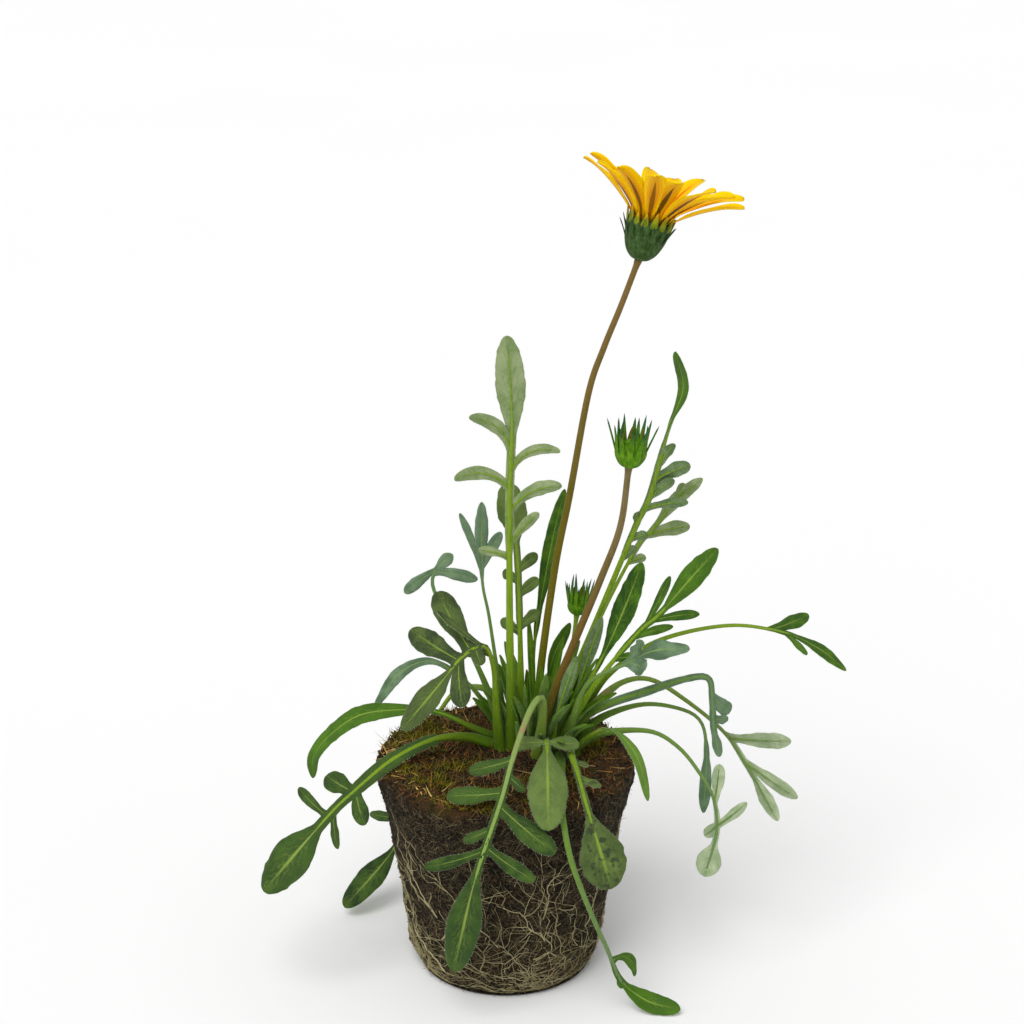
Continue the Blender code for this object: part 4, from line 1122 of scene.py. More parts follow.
def grow_leaf(name, one):
    """One whole leaf."""
    draw = random.Random(name)
    rib = Rib(one.seat, one.route, one.face, one.tip_face)
    skin = Skin()
    add_lamina(skin, one, rib, draw.random(), draw)
    for spec in one.lobes:
        add_lobe(skin, one, rib, spec, draw.random(), draw)
    run = add_rib(skin, one, rib, draw.random())
    add_hairs(skin, *run, LEAF_HAIRS, LEAF_HAIR_LENGTH, draw)
    stem = STEMS[one.stem or ("grey" if one.upper == "blue" else "fresh")]
    finishes = [UPPER[one.upper], LOWER[one.lower], stem, HAIR]
    return grown(skin, name + "_grown", finishes, one.slot, name)


leaf_pieces = [grow_leaf(name, one) for name, one in LEAVES.items()]
print("leaf faces:", sum(len(piece.data.polygons) for piece in leaf_pieces))

# %% [markdown]
# ## The heart of the clump
# Between the big leaves stand young ones, still folded, and the short sheaths that older leaves left behind.
# Each is a narrow strap on a small rib of its own, steeper in the middle than at the edge. Their seats lie in a
# spiral, which spreads any number of them evenly.

# %% Young straps
CROWN_CENTRE = np.array([14.5, 7.5])
CROWN_REACH = np.array([17.0, 13.0])
STRAP_COUNT = 46
STRAP_TURNS_BY = 0.985


def strap_width(wide, s):
    """The half-width of a strap: a little waist, a swell and a rounded end."""
    waist = wide * (1.0 - 0.35 * smooth_step(s / 0.4)
                    + 0.45 * math.sin(math.pi * min(1.0, max(0.0, (s - 0.4) / 0.6))))
    return waist * math.sqrt(max(0.0, 1.0 - s ** 9)) + 0.05


def grow_straps():
    """The young and cut-short straps, all in one piece."""
    draw = random.Random(41)
    skin = Skin()
    for i in range(STRAP_COUNT):
        share = math.sqrt((i + 0.5) / STRAP_COUNT)
        out = ring_way(golden_turn(i))
        seat = CROWN_CENTRE + out[:2] * CROWN_REACH * share
        lean = (0.06 + 0.62 * share ** 2) * (0.45 if out[0] < -0.2 else 1.0) + draw.uniform(-0.06, 0.10)
        length = draw.uniform(16.0, 30.0) + (1.0 - share) * draw.uniform(10.0, 46.0)
        drift = np.array([draw.uniform(-0.2, 0.2), draw.uniform(-0.2, 0.2), 0.0])
        start = np.array([*seat, NECK])
        route = []
        for t in (0.3, 0.65, 1.0):
            rise = np.array([0, 0, 1.0 - 0.35 * lean * t])
            route.append(start + (out * lean * (t + t * t * 0.5) + drift * t + rise * t) * length)
        rib = Rib(seat, route, -out - np.array([0, 0.4, -0.5]), samples=61)
        shares = tip_steps(26)
        centres = rib.run(shares)[0]
        _, sides, normals = rib.run(np.minimum(shares, STRAP_TURNS_BY))
        wide = draw.uniform(1.2, 2.2)
        widths = np.array([strap_width(wide, s) for s in shares])
        fold = draw.uniform(0.25, 0.7)

        def relief(v, k, fold=fold, widths=widths):
            return fold * widths[k] * np.abs(v) ** 1.5

        add_blade(skin, centres, sides, normals, widths, 0.7 + 0.5 * (1.0 - shares), relief, shares * 0.7,
                  draw.random())
    return grown(skin, "young_straps", [UPPER["shade"], LOWER["shade"]], "leaf_green")


straps = grow_straps()
print("strap faces:", len(straps.data.polygons))

# %% [markdown]
# ## Flower and bud stalks
# These are round and carry no blade. They thin towards the head, with a small collar where it sits, and their
# hairs are shorter than on the leaves. Each is one rod carried along its rib.

# %% Stalks
STALK_SIDES = 14
STALK_HAIRS, STALK_HAIR_LENGTH = 6.0, 0.9
# Each stalk: seat, route, radius at its foot and head, finish
STALKS = {
    "flower_stalk": ((15.0, 12.5), [(15, 13, 127), (21.5, 15, 180), (27.8, 17, 214), (35.5, 20, 259),
                                    (41.8, 21, 279), (48.8, 22, 297), (55.8, 24, 316)],
                     1.8, 1.25, FLOWER_STALK),
    "bud_stalk": ((15.5, -1.0), [(20, -1, 125), (29, 0, 150), (41, 0, 182), (49, -2, 207), (52, -4, 234)],
                  2.0, 1.3, BUD_STALK),
    "small_bud_stalk": ((24.0, 17.5), [(26, 19, 118), (29.5, 22, 138), (31.5, 22.5, 155.5)],
                        1.2, 0.9, LEAF_STALK),
}


def grow_stalk(name):
    """A flower or bud stalk. Returns its rib, which its head stands on."""
    seat, route, foot, head, finish = STALKS[name]
    rib = Rib(seat, route)
    shares = np.linspace(0.0, 1.0, round(rib.length / 1.6))
    centres = np.array([rib.at(s) for s in shares] + [rib.line[-1] + rib.frame(1.0)[0] * 1.1])
    shares = np.append(shares, 1.0)
    sides, normals = carried_frames(centres, (1, 0, 0))
    radii = foot + (head - foot) * shares + 0.3 * np.exp(-shares * rib.length / 8.0)
    radii += 0.45 * np.exp(-(1.0 - shares) * rib.length / 1.6)
    skin = Skin()
    add_rod(skin, centres, sides, normals, radii, shares, 0.5, STALK_SIDES)
    add_hairs(skin, centres, sides, normals, radii, STALK_HAIRS, STALK_HAIR_LENGTH, random.Random(name), slot=1)
    grown(skin, name + "_grown", [finish, HAIR], "stalk", name)
    return rib


ribs = {name: grow_stalk(name) for name in STALKS}
print("stalk lengths in mm:", {name: round(rib.length) for name, rib in ribs.items()})

# %% [markdown]
# ## The flower head
# A gazania's flower is a head of many florets in one green cup of fused bracts. The head is built looking
# along its own +Z, then every point is turned onto the end of the stalk, as the solids are.

# %% Head frame
HEAD_TILT_RIGHT = math.radians(17)
HEAD_TILT_BACK = math.radians(10)
HEAD_GAP = 0.35
HEAD_SUNK = 0.2


def head_frame(rib, look=None):
    """The matrix that stands a head on the end of its stalk, in millimetres."""
    along = Vector(rib.frame(1.0)[0])
    look = look or along
    spot = Vector(rib.line[-1]) + look * HEAD_GAP + along * HEAD_SUNK
    return np.array(Matrix.Translation(spot) @ look.to_track_quat("Z", "Y").to_matrix().to_4x4())


def turned_by(matrix, skin):
    """Turns everything a skin has collected onto its stalk."""
    skin.points = [points @ matrix[:3, :3].T + matrix[:3, 3] for points in skin.points]
    return skin


flower_look = Vector((math.sin(HEAD_TILT_RIGHT), math.sin(HEAD_TILT_BACK), 1.0)).normalized()
flower_place = head_frame(ribs["flower_stalk"], flower_look)
print("the flower's foot in mm:", np.round(flower_place[:3, 3], 1).tolist())

# %% [markdown]
# ## Finish of the rays
# The rays are golden yellow with fine lengthwise lines, and paler towards their tips, a painted highlight for
# the light shining through them. Outside, a brownish band runs up the middle. Inside they have a dark foot and
# a red streak.
# The across mark places the band, and noise wavers its edge.

# %% Ray finishes
def ray_finish(name, edge, middle, band, band_width, base):
    """A ray's face: yellow with fine lines, a band down its middle and a dark foot."""
    f = Finish(name, 0.42)
    across, along, number = f.marks()
    side = f.sum("ABSOLUTE", across)
    lines = f.sum("POWER", f.sum("ABSOLUTE", f.sum("SINE", f.sum("MULTIPLY", across, 13.0))), 3.0)
    body = f.mix(f.between(side, 0.25, 0.90), middle, edge)
    # Paler towards the tip: a painted highlight for the light that shines through the outer half of each ray.
    body = f.mix(f.between(along, 0.45, 1.0, 0.0, 0.45), body, edge)
    body = f.mix(f.between(side, 0.90, 1.0, 0.0, 0.5), body, tint(232, 224, 30))
    body = f.mix(f.sum("MULTIPLY", lines, 0.22), body, middle)
    ragged = f.sum("MULTIPLY_ADD", f.noise(600, 2.0), 0.08, side)
    reach = f.between(along, 0.30, 0.93, band_width, 0.03)
    inside = f.between(f.sum("SUBTRACT", ragged, reach), 0.0, 0.07, 1.0, 0.0)
    inside = f.sum("MULTIPLY", inside, f.between(along, 0.72, 0.95, 1.0, 0.0))
    strength = f.between(number, 0.0, 0.5, 0.70, 1.0)
    body = f.mix(f.sum("MULTIPLY", inside, strength), body, band)
    body = f.mix(f.between(along, 0.10, 0.26, 0.85, 0.0), body, base)
    f.bump((lines, 0.16), (f.noise(1600, 2.0), 0.05))
    f.set(Sheen_Weight=0.0, Specular_IOR_Level=0.05, Subsurface_Weight=0.15,
          Subsurface_Radius=(0.003, 0.0012, 0.0001))
    return f.colour(body)


RAY_INNER = ray_finish("ray inner face", tint(255, 220, 0), tint(255, 186, 0), tint(224, 56, 0), 0.16,
                       tint(70, 34, 10))
RAY_OUTER = ray_finish("ray outer face", tint(255, 206, 0), tint(226, 142, 0), tint(92, 66, 0), 0.30,
                       tint(150, 104, 0))
print("ray finishes:", RAY_INNER.name, "and", RAY_OUTER.name)

# %% [markdown]
# ## Finish of the bracts
# Bracts are green under thin felt, with dark grooves where they join and bluish tips. The same nodes serve the
# cup, its inner teeth and the buds, and only the colours differ.

# %% Bract finishes
def bract_finish(name, green, grey, tip):
    """Felted bracts that change colour towards the tips of their teeth."""
    f = Finish(name, 0.7)
    _, along, _ = f.marks()
    body = f.mix(f.between(f.noise(380, 4.0), 0.35, 0.65), green, grey)
    body = f.mix(f.between(along, 0.72, 1.0, 0.0, 0.9), body, tip)
    fuzz = f.noise(3200, 3.0, stretch=(1.0, 1.0, 0.3))
    body = f.mix(f.between(fuzz, 0.5, 0.72, 0.0, 0.15), body, tint(140, 156, 120))
    ribs = f.noise(700, 3.0, stretch=(1.0, 1.0, 0.2))
    body = f.mix(f.between(ribs, 0.38, 0.60, 0.42, 0.0), body, tint(26, 44, 12))
    f.bump((ribs, 0.30), (fuzz, 0.12))
    f.set(Sheen_Weight=0.02, Specular_IOR_Level=0.10)
    return f.colour(body)


CUP_GREEN = bract_finish("flower cup bracts", tint(46, 76, 22), tint(72, 100, 54), tint(14, 50, 52))
CUP_TOOTH = bract_finish("inner cup teeth", tint(112, 132, 14), tint(150, 150, 16), tint(240, 170, 4))
BUD_GREEN = bract_finish("bud bracts", tint(76, 132, 0), tint(104, 150, 16), tint(0, 78, 62))
BUD_HEART = bract_finish("bud heart", tint(110, 122, 24), tint(132, 120, 36), tint(104, 96, 30))
print("bract finishes:", [finish.name for finish in (CUP_GREEN, CUP_TOOTH, BUD_GREEN, BUD_HEART)])

# %% [markdown]
# ## Turned bodies and teeth
# A cup and a bud are turned bodies, but their radius swells between ribs, which the Screw modifier can't give.
# The free tips of the bracts are teeth, each with a keel down its back that catches the light.

# %% Turned bodies and teeth
TOOTH_STEPS = 9
TOOTH_SIDES = 8
KEEL_DEPTH = 0.35


def profile_radius(profile, height):
    """The radius of a profile at this height."""
    heights = [z for _, z in profile]
    return float(np.interp(height, heights, [r for r, _ in profile]))


def add_turned(skin, profile, count, ribs_round, depth, slot):
    """A turned body whose radius swells between ribs."""
    turn = ring_turns(count)
    rings = []
    alongs = []
    high = max(z for _, z in profile)
    for r, z in profile:
        swell = 1.0 + depth * (np.abs(np.cos(turn * ribs_round / 2)) - 0.6) * smooth_step(z / high / 0.5)
        rings.append(np.stack([np.cos(turn) * r * swell, np.sin(turn) * r * swell, np.full(count, z)], -1))
        alongs.append(0.6 * z / high)
    skin.rings(np.array(rings), rod_marks(alongs, 0.5, count), np.full(count, slot))


def add_tooth(skin, foot, way, out, length, width, number, draw, slot=0, thick=0.7, bend=0.0):
    """A pointed tooth with a keel."""
    count = TOOTH_STEPS
    side = unit(np.cross(out, way))
    centres = [np.array(foot, float)]
    heading = unit(np.array(way, float))
    sideways = draw.uniform(-0.10, 0.10)
    for k in range(count - 1):
        step = unit(heading + out * bend * k / count + side * sideways * k / count)
        centres.append(centres[-1] + step * length / (count - 1))
    centres = np.array(centres)
    alongs = np.linspace(0.0, 1.0, count)
    normal = unit(np.cross(unit(centres[-1] - centres[0]), side)) * -1.0
    widths = width / 2 * (1.0 - alongs ** 1.6) ** 0.85 + 0.07
    sides = np.tile(side, (count, 1))
    normals = np.tile(normal, (count, 1))
    turn = ring_turns(TOOTH_SIDES)
    rings = []
    for k in range(count):
        x = np.cos(turn) * widths[k]
        y = np.sin(turn) * np.minimum(thick, widths[k] * 1.6) * 0.5
        y = y - KEEL_DEPTH * np.abs(np.cos(turn)) ** 2 * widths[k] * 0.6
        rings.append(centres[k] + np.outer(x, sides[k]) + np.outer(y, normals[k]))
    skin.rings(np.array(rings), rod_marks(0.45 + 0.55 * alongs, number, TOOTH_SIDES),
               np.full(TOOTH_SIDES, slot))


print("points in a tooth:", TOOTH_STEPS * TOOTH_SIDES)

# %% [markdown]
# ## The cup
# The bracts are fused into a ribbed cup with a rounded foot. Free teeth stand from it in three rows: broad
# yellow-tipped ones against the rays, short green ones outside them, and lower down long thin ones that lean
# outwards. The cup is hollow, because the rays and the disc stand in it.

# %% Cup
CUP_PROFILE = [(1.6, 0.0), (3.9, 0.8), (6.5, 3.5), (8.3, 7.8), (9.3, 12.2), (9.8, 15.8)]
CUP_WALL = 0.9
CUP_FLOOR = 6.0
CUP_POINTS, CUP_RIBS, CUP_RIB_DEPTH = 120, 15, 0.05
SHORT_TEETH = 16
LONG_TEETH = 14


def cup_foot(out, height, sunk):
    """A tooth's foot on the cup's wall, sunk a little into it."""
    return out * (profile_radius(CUP_PROFILE, height) - sunk) + UP * height


def grow_cup(matrix):
    """The cup, its rim and its rows of teeth."""
    draw = random.Random(11)
    skin = Skin()
    outer = curve_through([(r, 0, z) for r, z in CUP_PROFILE], 22)[:, [0, 2]]
    inner = [(r - CUP_WALL, z) for r, z in reversed(CUP_PROFILE) if z > CUP_FLOOR]
    add_turned(skin, [(0.05, 0.02), *outer, *inner, (6.8, CUP_FLOOR), (0.05, CUP_FLOOR)],
               CUP_POINTS, CUP_RIBS, CUP_RIB_DEPTH, 0)
    for i in range(SHORT_TEETH):
        out = ring_way(2 * math.pi * (i + draw.uniform(-0.1, 0.1)) / SHORT_TEETH)
        rim = out * (profile_radius(CUP_PROFILE, 14.6) - 0.45) + UP * 14.4
        way = unit(UP + out * 0.24)
        add_tooth(skin, rim, way, out, draw.uniform(5.6, 7.8), 3.2, draw.random(), draw, slot=1)
    for i in range(SHORT_TEETH):
        out = ring_way(2 * math.pi * (i + 0.5) / SHORT_TEETH)
        way = unit(UP + out * draw.uniform(0.10, 0.24))
        add_tooth(skin, cup_foot(out, 12.0, 0.25), way, out, draw.uniform(4.5, 6.2), 2.2, draw.random(), draw)
    for i in range(LONG_TEETH):
        out = ring_way(2 * math.pi * (i + 0.2) / LONG_TEETH)
        way = unit(UP + out * draw.uniform(0.22, 0.60))
        add_tooth(skin, cup_foot(out, 8.5, 0.2), way, out, draw.uniform(7.5, 10.5), 1.4, draw.random(), draw,
                  bend=0.2, thick=0.5)
    return grown(turned_by(matrix, skin), "flower_cup_grown", [CUP_GREEN, CUP_TOOTH], "cup", "flower_cup")


cup = grow_cup(flower_place)
print("cup faces:", len(cup.data.polygons), "teeth:", 2 * SHORT_TEETH + LONG_TEETH)

# %% [markdown]
# ## The rays
# Each ray floret is a long strap that narrows to a claw inside the cup and ends in a blunt tip. Its edges roll,
# its face is pleated, and no two are alike: some twist, some droop. They lie in two layers, one over the other,
# which keeps neighbours from cutting through each other.

# %% Rays
RAY_COUNT = 16
RAY_WIDTH = 10.4
RAY_DEPTH = 0.42
RAY_RINGS = 34
RAY_LAYER = 1.05
# The middle line of a ray that neither droops nor sways: distance from the head's axis, and height
RAY_LINE = [(6.4, 12.6), (7.3, 17.2), (10.9, 21.8), (17.2, 26.9), (23.5, 31.0), (29.5, 34.0), (35.0, 35.8)]
RAY_LINE_STEPS = 40
RAY_FOOT_HEIGHTS = (12.0, 13.2)
RAY_FOOT_REACH = (-0.9, 1.2)
RAY_FOOT_POINTS = 64


def add_ray_foot(skin):
    """The ring inside the cup that holds the claws of the rays."""
    inner, outer = (RAY_LINE[0][0] + reach for reach in RAY_FOOT_REACH)
    low, high = RAY_FOOT_HEIGHTS
    foot = [(inner, low), (outer, low), (outer, high), (inner, high)]
    turns = [*np.arange(RAY_FOOT_POINTS) / RAY_FOOT_POINTS * 2 * math.pi, 0.0]
    ring = np.array([[(r * math.cos(a), r * math.sin(a), z) for r, z in foot] for a in turns])
    skin.rings(ring[:, ::-1], rod_marks(np.zeros(len(turns)), 0.5, len(foot)), np.full(len(foot), 1))


def ray_line(line, alongs, out, side, layer, stretch, droop, sway):
    """The middle line of one ray: it leaves the cup as all do, then goes its own way."""
    centres = []
    for u in alongs:
        spot = spot_along(line, u)
        settle = smooth_step((u - 0.08) / 0.22)
        radius = spot[0] * (1 + (stretch - 1) * settle)
        height = spot[2] + (layer + droop * u) * settle
        centres.append(out * radius + side * sway * u * u + np.array([0, 0, height]))
    return np.array(centres)


def grow_rays(matrix):
    """All the ray florets, in one piece."""
    draw = random.Random(7)
    shape = random.Random(21)
    line = curve_through([(r, 0, z) for r, z in RAY_LINE], RAY_LINE_STEPS + 1)
    skin = Skin()
    alongs = tip_steps(RAY_RINGS, 1.3)
    for i in range(RAY_COUNT):
        turn = 2 * math.pi * i / RAY_COUNT + shape.uniform(-0.05, 0.05)
        out = ring_way(turn)
        side = ring_way(turn + math.pi / 2)
        layer = RAY_LAYER if i % 2 else -RAY_LAYER
        stretch = draw.uniform(0.92, 1.05)
        droop = draw.uniform(-1.8, 2.6)
        twist = shape.uniform(-0.35, 0.35) - 0.55 * max(0.0, -out[0])
        sway = shape.uniform(-2.0, 2.0)
        cupping = shape.uniform(0.22, 0.50)
        centres = ray_line(line, alongs, out, side, layer, stretch, droop, sway)
        headings = unit(np.gradient(centres, axis=0))
        upward = unit(UP - out * 0.3)
        normals = unit(upward - headings * (headings @ upward)[:, None])
        sides = np.cross(headings, normals)
        roll = (twist * alongs ** 2)[:, None]
        sides, normals = (sides * np.cos(roll) + normals * np.sin(roll),
                          normals * np.cos(roll) - sides * np.sin(roll))
        wide = RAY_WIDTH / 2 * shape.uniform(0.84, 1.0)
        widths = np.array([wide * spoon(u, 0.20, 0.66) for u in alongs])
        phase = shape.uniform(0, 6.28)

        def relief(v, k, widths=widths, cupping=cupping, phase=phase):
            w = widths[k]
            settle = smooth_step((alongs[k] - 0.08) / 0.3)
            pleats = 0.12 * np.cos(v * 13.0) * settle
            ruffle = 0.35 * np.sin(alongs[k] * 11 + phase + 2 * v) * v ** 2 * settle
            return cupping * w * v ** 2 * settle + pleats + ruffle

        add_blade(skin, centres, sides, normals, widths, np.full(RAY_RINGS, RAY_DEPTH), relief, alongs,
                  shape.random())
    add_ray_foot(skin)
    return grown(turned_by(matrix, skin), "flower_rays_grown", [RAY_INNER, RAY_OUTER], "rays", "flower_rays")


rays = grow_rays(flower_place)
print("rays:", RAY_COUNT, "faces:", len(rays.data.polygons))

# %% [markdown]
# ## The disc
# The middle holds the disc florets, packed on a dome in the spiral that all daisies share. The outer ones are
# open and show a dark anther tube, the inner ones are still closed. The dome lies deep between the rays, so
# simple florets are enough.

# %% Disc florets
DISC_RADIUS = 5.2
DISC_TOP = 15.5
FLORET_COUNT = 70
OPEN_FROM, ANTHERS_FROM = 0.45, 0.55
OPEN_RADII = np.array([0.30, 0.36, 0.46, 0.52, 0.12])
CLOSED_RADII = np.array([0.36, 0.42, 0.42, 0.26, 0.05])


def floret_finish(name, low, high):
    """Small waxy florets, lighter at their tips."""
    f = Finish(name, 0.5)
    _, along, _ = f.marks()
    body = f.mix(f.between(along, 0.2, 0.9), low, high)
    f.bump((f.noise(2500, 2.0), 0.06))
    return f.colour(body)


FLORET = floret_finish("disc florets", tint(150, 74, 10), tint(240, 170, 24))
ANTHER = floret_finish("disc anthers", tint(84, 36, 14), tint(214, 120, 20))


def grow_disc(matrix):
    """The dome and its florets."""
    draw = random.Random(5)
    skin = Skin()
    floor = CUP_FLOOR + 0.35
    dome = [(0.05, floor), (DISC_RADIUS, floor), (DISC_RADIUS, DISC_TOP - 2.2),
            (DISC_RADIUS * 0.8, DISC_TOP - 1.2), (DISC_RADIUS * 0.5, DISC_TOP - 0.6), (0.05, DISC_TOP - 0.4)]
    add_turned(skin, dome, 40, 2, 0.0, 0)
    for i in range(FLORET_COUNT):
        share = math.sqrt((i + 0.5) / FLORET_COUNT)
        turn = golden_turn(i)
        out = ring_way(turn)
        radius = share * (DISC_RADIUS - 0.25)
        foot = out * radius + np.array([0, 0, DISC_TOP - 1.0 - 1.0 * share ** 2])
        way = unit(UP + out * 0.35 * share)
        tall = (1.3 + 1.1 * share) * draw.uniform(0.85, 1.1)
        centres = np.array([foot + way * tall * t for t in (0.0, 0.35, 0.7, 0.9, 1.0)])
        sides, normals = carried_frames(centres, ring_way(turn + 1.5))
        wide = OPEN_RADII if share > OPEN_FROM else CLOSED_RADII
        add_rod(skin, centres, sides, normals, wide, [0, 0.3, 0.6, 0.9, 1.0], 0.5, 6)
        if share > ANTHERS_FROM:
            tip = np.array([centres[-1], centres[-1] + way * 0.9, centres[-1] + way * 1.3])
            sides, normals = carried_frames(tip, ring_way(turn + 1.5))
            add_rod(skin, tip, sides, normals, np.array([0.22, 0.24, 0.10]), [0, 0.5, 1.0], 0.5, 6, slot=1)
    return grown(turned_by(matrix, skin), "flower_disc_grown", [FLORET, ANTHER], "disc", "flower_disc")


disc = grow_disc(flower_place)
print("florets:", FLORET_COUNT, "faces:", len(disc.data.polygons))

# %% [markdown]
# ## The buds
# A closed bud is the same cup with longer teeth, which stand round the rolled rays like a brush's bristles.
# Three rows of green teeth and a fourth for the heart lean at slightly different angles.

# %% Buds
# Each row of teeth: height of its foot as a share of the bud, outward lean, length as a share of the bud's
# reach, width in mm on the large bud, how many, how far it is turned, finish
TOOTH_ROWS = [(0.20, 0.29, 1.42, 3.1, 6, 0.0, 0), (0.32, 0.20, 1.30, 3.2, 6, 0.5, 0),
              (0.50, 0.04, 1.00, 2.5, 5, 0.2, 0), (0.62, -0.10, 0.70, 3.4, 6, 0.6, 1)]
LARGE_BUD_RADIUS = 6.6
# Each bud: height and radius of its body, reach of its teeth, and the stalk it stands on
BUDS = {
    "bud": (13.2, LARGE_BUD_RADIUS, 13.5, "bud_stalk"),
    "small_bud": (9.0, 4.6, 10.5, "small_bud_stalk"),
}


def grow_bud(name, matrix):
    """A bud: body, teeth and the tips of the rays inside."""
    height, radius, reach, _ = BUDS[name]
    draw = random.Random(name)
    skin = Skin()
    profile = [(0.0, 0.0), (radius * 0.25, 0.0), (radius * 0.72, height * 0.13), (radius, height * 0.42),
               (radius * 0.92, height * 0.66), (radius * 0.48, height * 0.86)]
    body = curve_through([(r, 0, z) for r, z in profile], 18)[:, [0, 2]]
    body = [(max(0.05, r), z) for r, z in body]
    add_turned(skin, [*body, (0.05, height)], 84, 12, 0.07, 0)
    for low, lean, size, wide, count, shift, slot in TOOTH_ROWS:
        for i in range(count):
            out = ring_way(2 * math.pi * (i + shift) / count)
            foot = out * (profile_radius(profile[1:], low * height) - 0.5) + UP * low * height
            way = unit(UP + out * (lean + draw.uniform(-0.08, 0.08)))
            length = reach * size * draw.uniform(0.88, 1.06)
            add_tooth(skin, foot, way, out, length, wide * radius / LARGE_BUD_RADIUS, draw.random(), draw,
                      slot=slot, bend=draw.uniform(-0.22, 0.10))
    return grown(turned_by(matrix, skin), name + "_grown", [BUD_GREEN, BUD_HEART], "bud", name)


for bud_name, (_, _, _, stalk_name) in BUDS.items():
    bud = grow_bud(bud_name, head_frame(ribs[stalk_name]))
    print(bud_name, "faces:", len(bud.data.polygons))

# %% [markdown]
# ## The shape of the root ball
# The ball is fibrous peat that kept the pot's taper, with a low mound round the crown. Noise at four scales,
# from clods to grains, pushes it in and out. Roots and moss ask the same functions where the surface is, so
# everything lies on it.

# %% The ball's shape
SOIL_LEVEL = 98.0
BALL_PROFILE = [(56.5, 96.0), (56.6, 90.0), (54.8, 84.0), (52.0, 74.0), (48.2, 51.0), (45.0, 27.0),
                (42.5, 10.0), (40.0, 3.5), (36.5, 0.0)]
# How far apart the lumps stand and how high they rise: clods, crumbs, fine crumbs and grains
CLOD_SIZES = [(11.0, 1.1), (4.2, 0.75), (1.7, 0.42), (0.8, 0.22)]
TOP_ROUGHER = 1.25


def ball_radius(height):
    """The ball's radius at this height."""
    heights = [z for _, z in reversed(BALL_PROFILE)]
    return float(np.interp(height, heights, [r for r, _ in reversed(BALL_PROFILE)]))


def clods(x, y, z):
    """How far the peat stands out here, in millimetres."""
    spot = Vector((x, y, z))
    return sum(noise.noise(spot / size) * height for size, height in CLOD_SIZES)


def soil_top(x, y):
    """The height of the soil's upper surface."""
    radius = math.hypot(x, y)
    dome = SOIL_LEVEL + 1.0 - 1.4 * smooth_step((radius - 30.0) / 24.0)
    lumps = 1.5 * noise.noise(Vector((x, y, 20.0)) / 15.0) * (1.0 - smooth_step((radius - 46.0) / 8.0))
    from_crown = math.hypot(x - CROWN_CENTRE[0], y - CROWN_CENTRE[1])
    mound = lumps + 3.2 * (1.0 - smooth_step((from_crown - 10.0) / 18.0))
    return dome + mound + clods(x, y, 60.0) * TOP_ROUGHER


print("the ball is", 2 * ball_radius(90.0), "mm across near its top and", 2 * ball_radius(0.0), "at its foot")

# %% [markdown]
# ## Finish of the peat
# Peat is dark brown with straw-coloured flecks, and redder and a little mossy on top. Its gaps, the low spots
# of the bump, are painted near black as shade. The height of each point tells top from side, so one finish
# serves the whole ball.

# %% Peat finish
# The heights in metres between which the side's colours give way to those of the top
PEAT_TOP = (0.090, 0.0985)


def peat_finish():
    """Dark fibrous peat: crumbs, gaps painted near black as shade, pale flecks, redder and mossy on top."""
    f = Finish("fibrous peat", 0.95)
    grains = f.noise(900, 5.0, 0.7)
    body = f.mix(f.between(f.noise(160, 4.0), 0.35, 0.68), tint(40, 36, 25), tint(80, 70, 50))
    # Near black in the low spots of the grain bump: painted shade in the hollows between the crumbs.
    body = f.mix(f.between(grains, 0.42, 0.62), tint(14, 11, 8), body)
    body = f.mix(f.between(f.noise(1900, 2.0, stretch=(1.0, 0.35, 1.0)), 0.60, 0.72, 0.0, 0.7), body,
                 tint(128, 98, 64))
    split = f.nodes.new("ShaderNodeSeparateXYZ")
    f.links.new(f.place, split.inputs[0])
    high = f.between(split.outputs[2], *PEAT_TOP)
    ruddy = f.sum("MULTIPLY", high, f.between(f.noise(140, 3.0), 0.42, 0.60, 0.0, 0.6))
    body = f.mix(ruddy, body, tint(82, 56, 30))
    mossy = f.sum("MULTIPLY", high, f.between(f.noise(75, 3.0), 0.54, 0.64, 0.0, 0.35))
    body = f.mix(mossy, body, tint(66, 62, 16))
    f.bump((grains, 0.9), (f.noise(2600, 3.0), 0.35))
    f.set(Specular_IOR_Level=0.12)
    return f.colour(body)


PEAT = peat_finish()
print("peat finish:", len(PEAT.node_tree.nodes), "nodes")

# %% [markdown]
# ## The ball's skin
# The skin is a turned grid whose rings follow the top, the rim, the side and the flat foot. Bump alone would
# leave the outline as smooth as a pot's, so the lumps are pushed into the mesh itself.

# %% Peat skin
PEAT_POINTS = 300
FLAT_BELOW = 0.6


def grow_peat():
    """The ball's own skin, from the middle of the top to the middle of the underside."""
    turn = ring_turns(PEAT_POINTS)
    top = [(r, None) for r in np.linspace(0.3, 54.5, 44)]
    rim = [(55.6, SOIL_LEVEL - 1.2), (56.3, 96.0)]
    side = [(ball_radius(z), z) for z in np.linspace(95.0, 1.2, 96)]
    foot = [(38.6, 0.5), (37.0, 0.0), (20.0, 0.0), (0.3, 0.0)]
    rings = []
    for radius, height in [*top, *rim, *side, *foot]:
        ring = []
        for a in turn:
            x, y = math.cos(a) * radius, math.sin(a) * radius
            if height is None:
                ring.append((x, y, soil_top(x, y)))
            elif height < FLAT_BELOW:
                ring.append((x, y, height))
            else:
                push = 1.0 + clods(x, y, height) / max(radius, 1.0)
                ring.append((x * push, y * push, height))
        rings.append(ring)
    rings = np.array(rings)
    skin = Skin()
    skin.rings(rings, rod_marks(np.linspace(0, 1, len(rings)), 0.5, PEAT_POINTS), np.zeros(PEAT_POINTS, int))
    return grown(skin, "peat_skin", [PEAT], "peat", "root_ball", "crown")


peat = grow_peat()
print("peat faces:", len(peat.data.polygons))

# %% [markdown]
# ## Roots
# Round the lower half, roots that met the pot's wall turned along it and branched. Each is a wandering line on
# the ball's surface, given thickness as a thin tapering tube. A line that keeps being pulled back to its first
# heading looks grown, where one that turns freely would curl up.

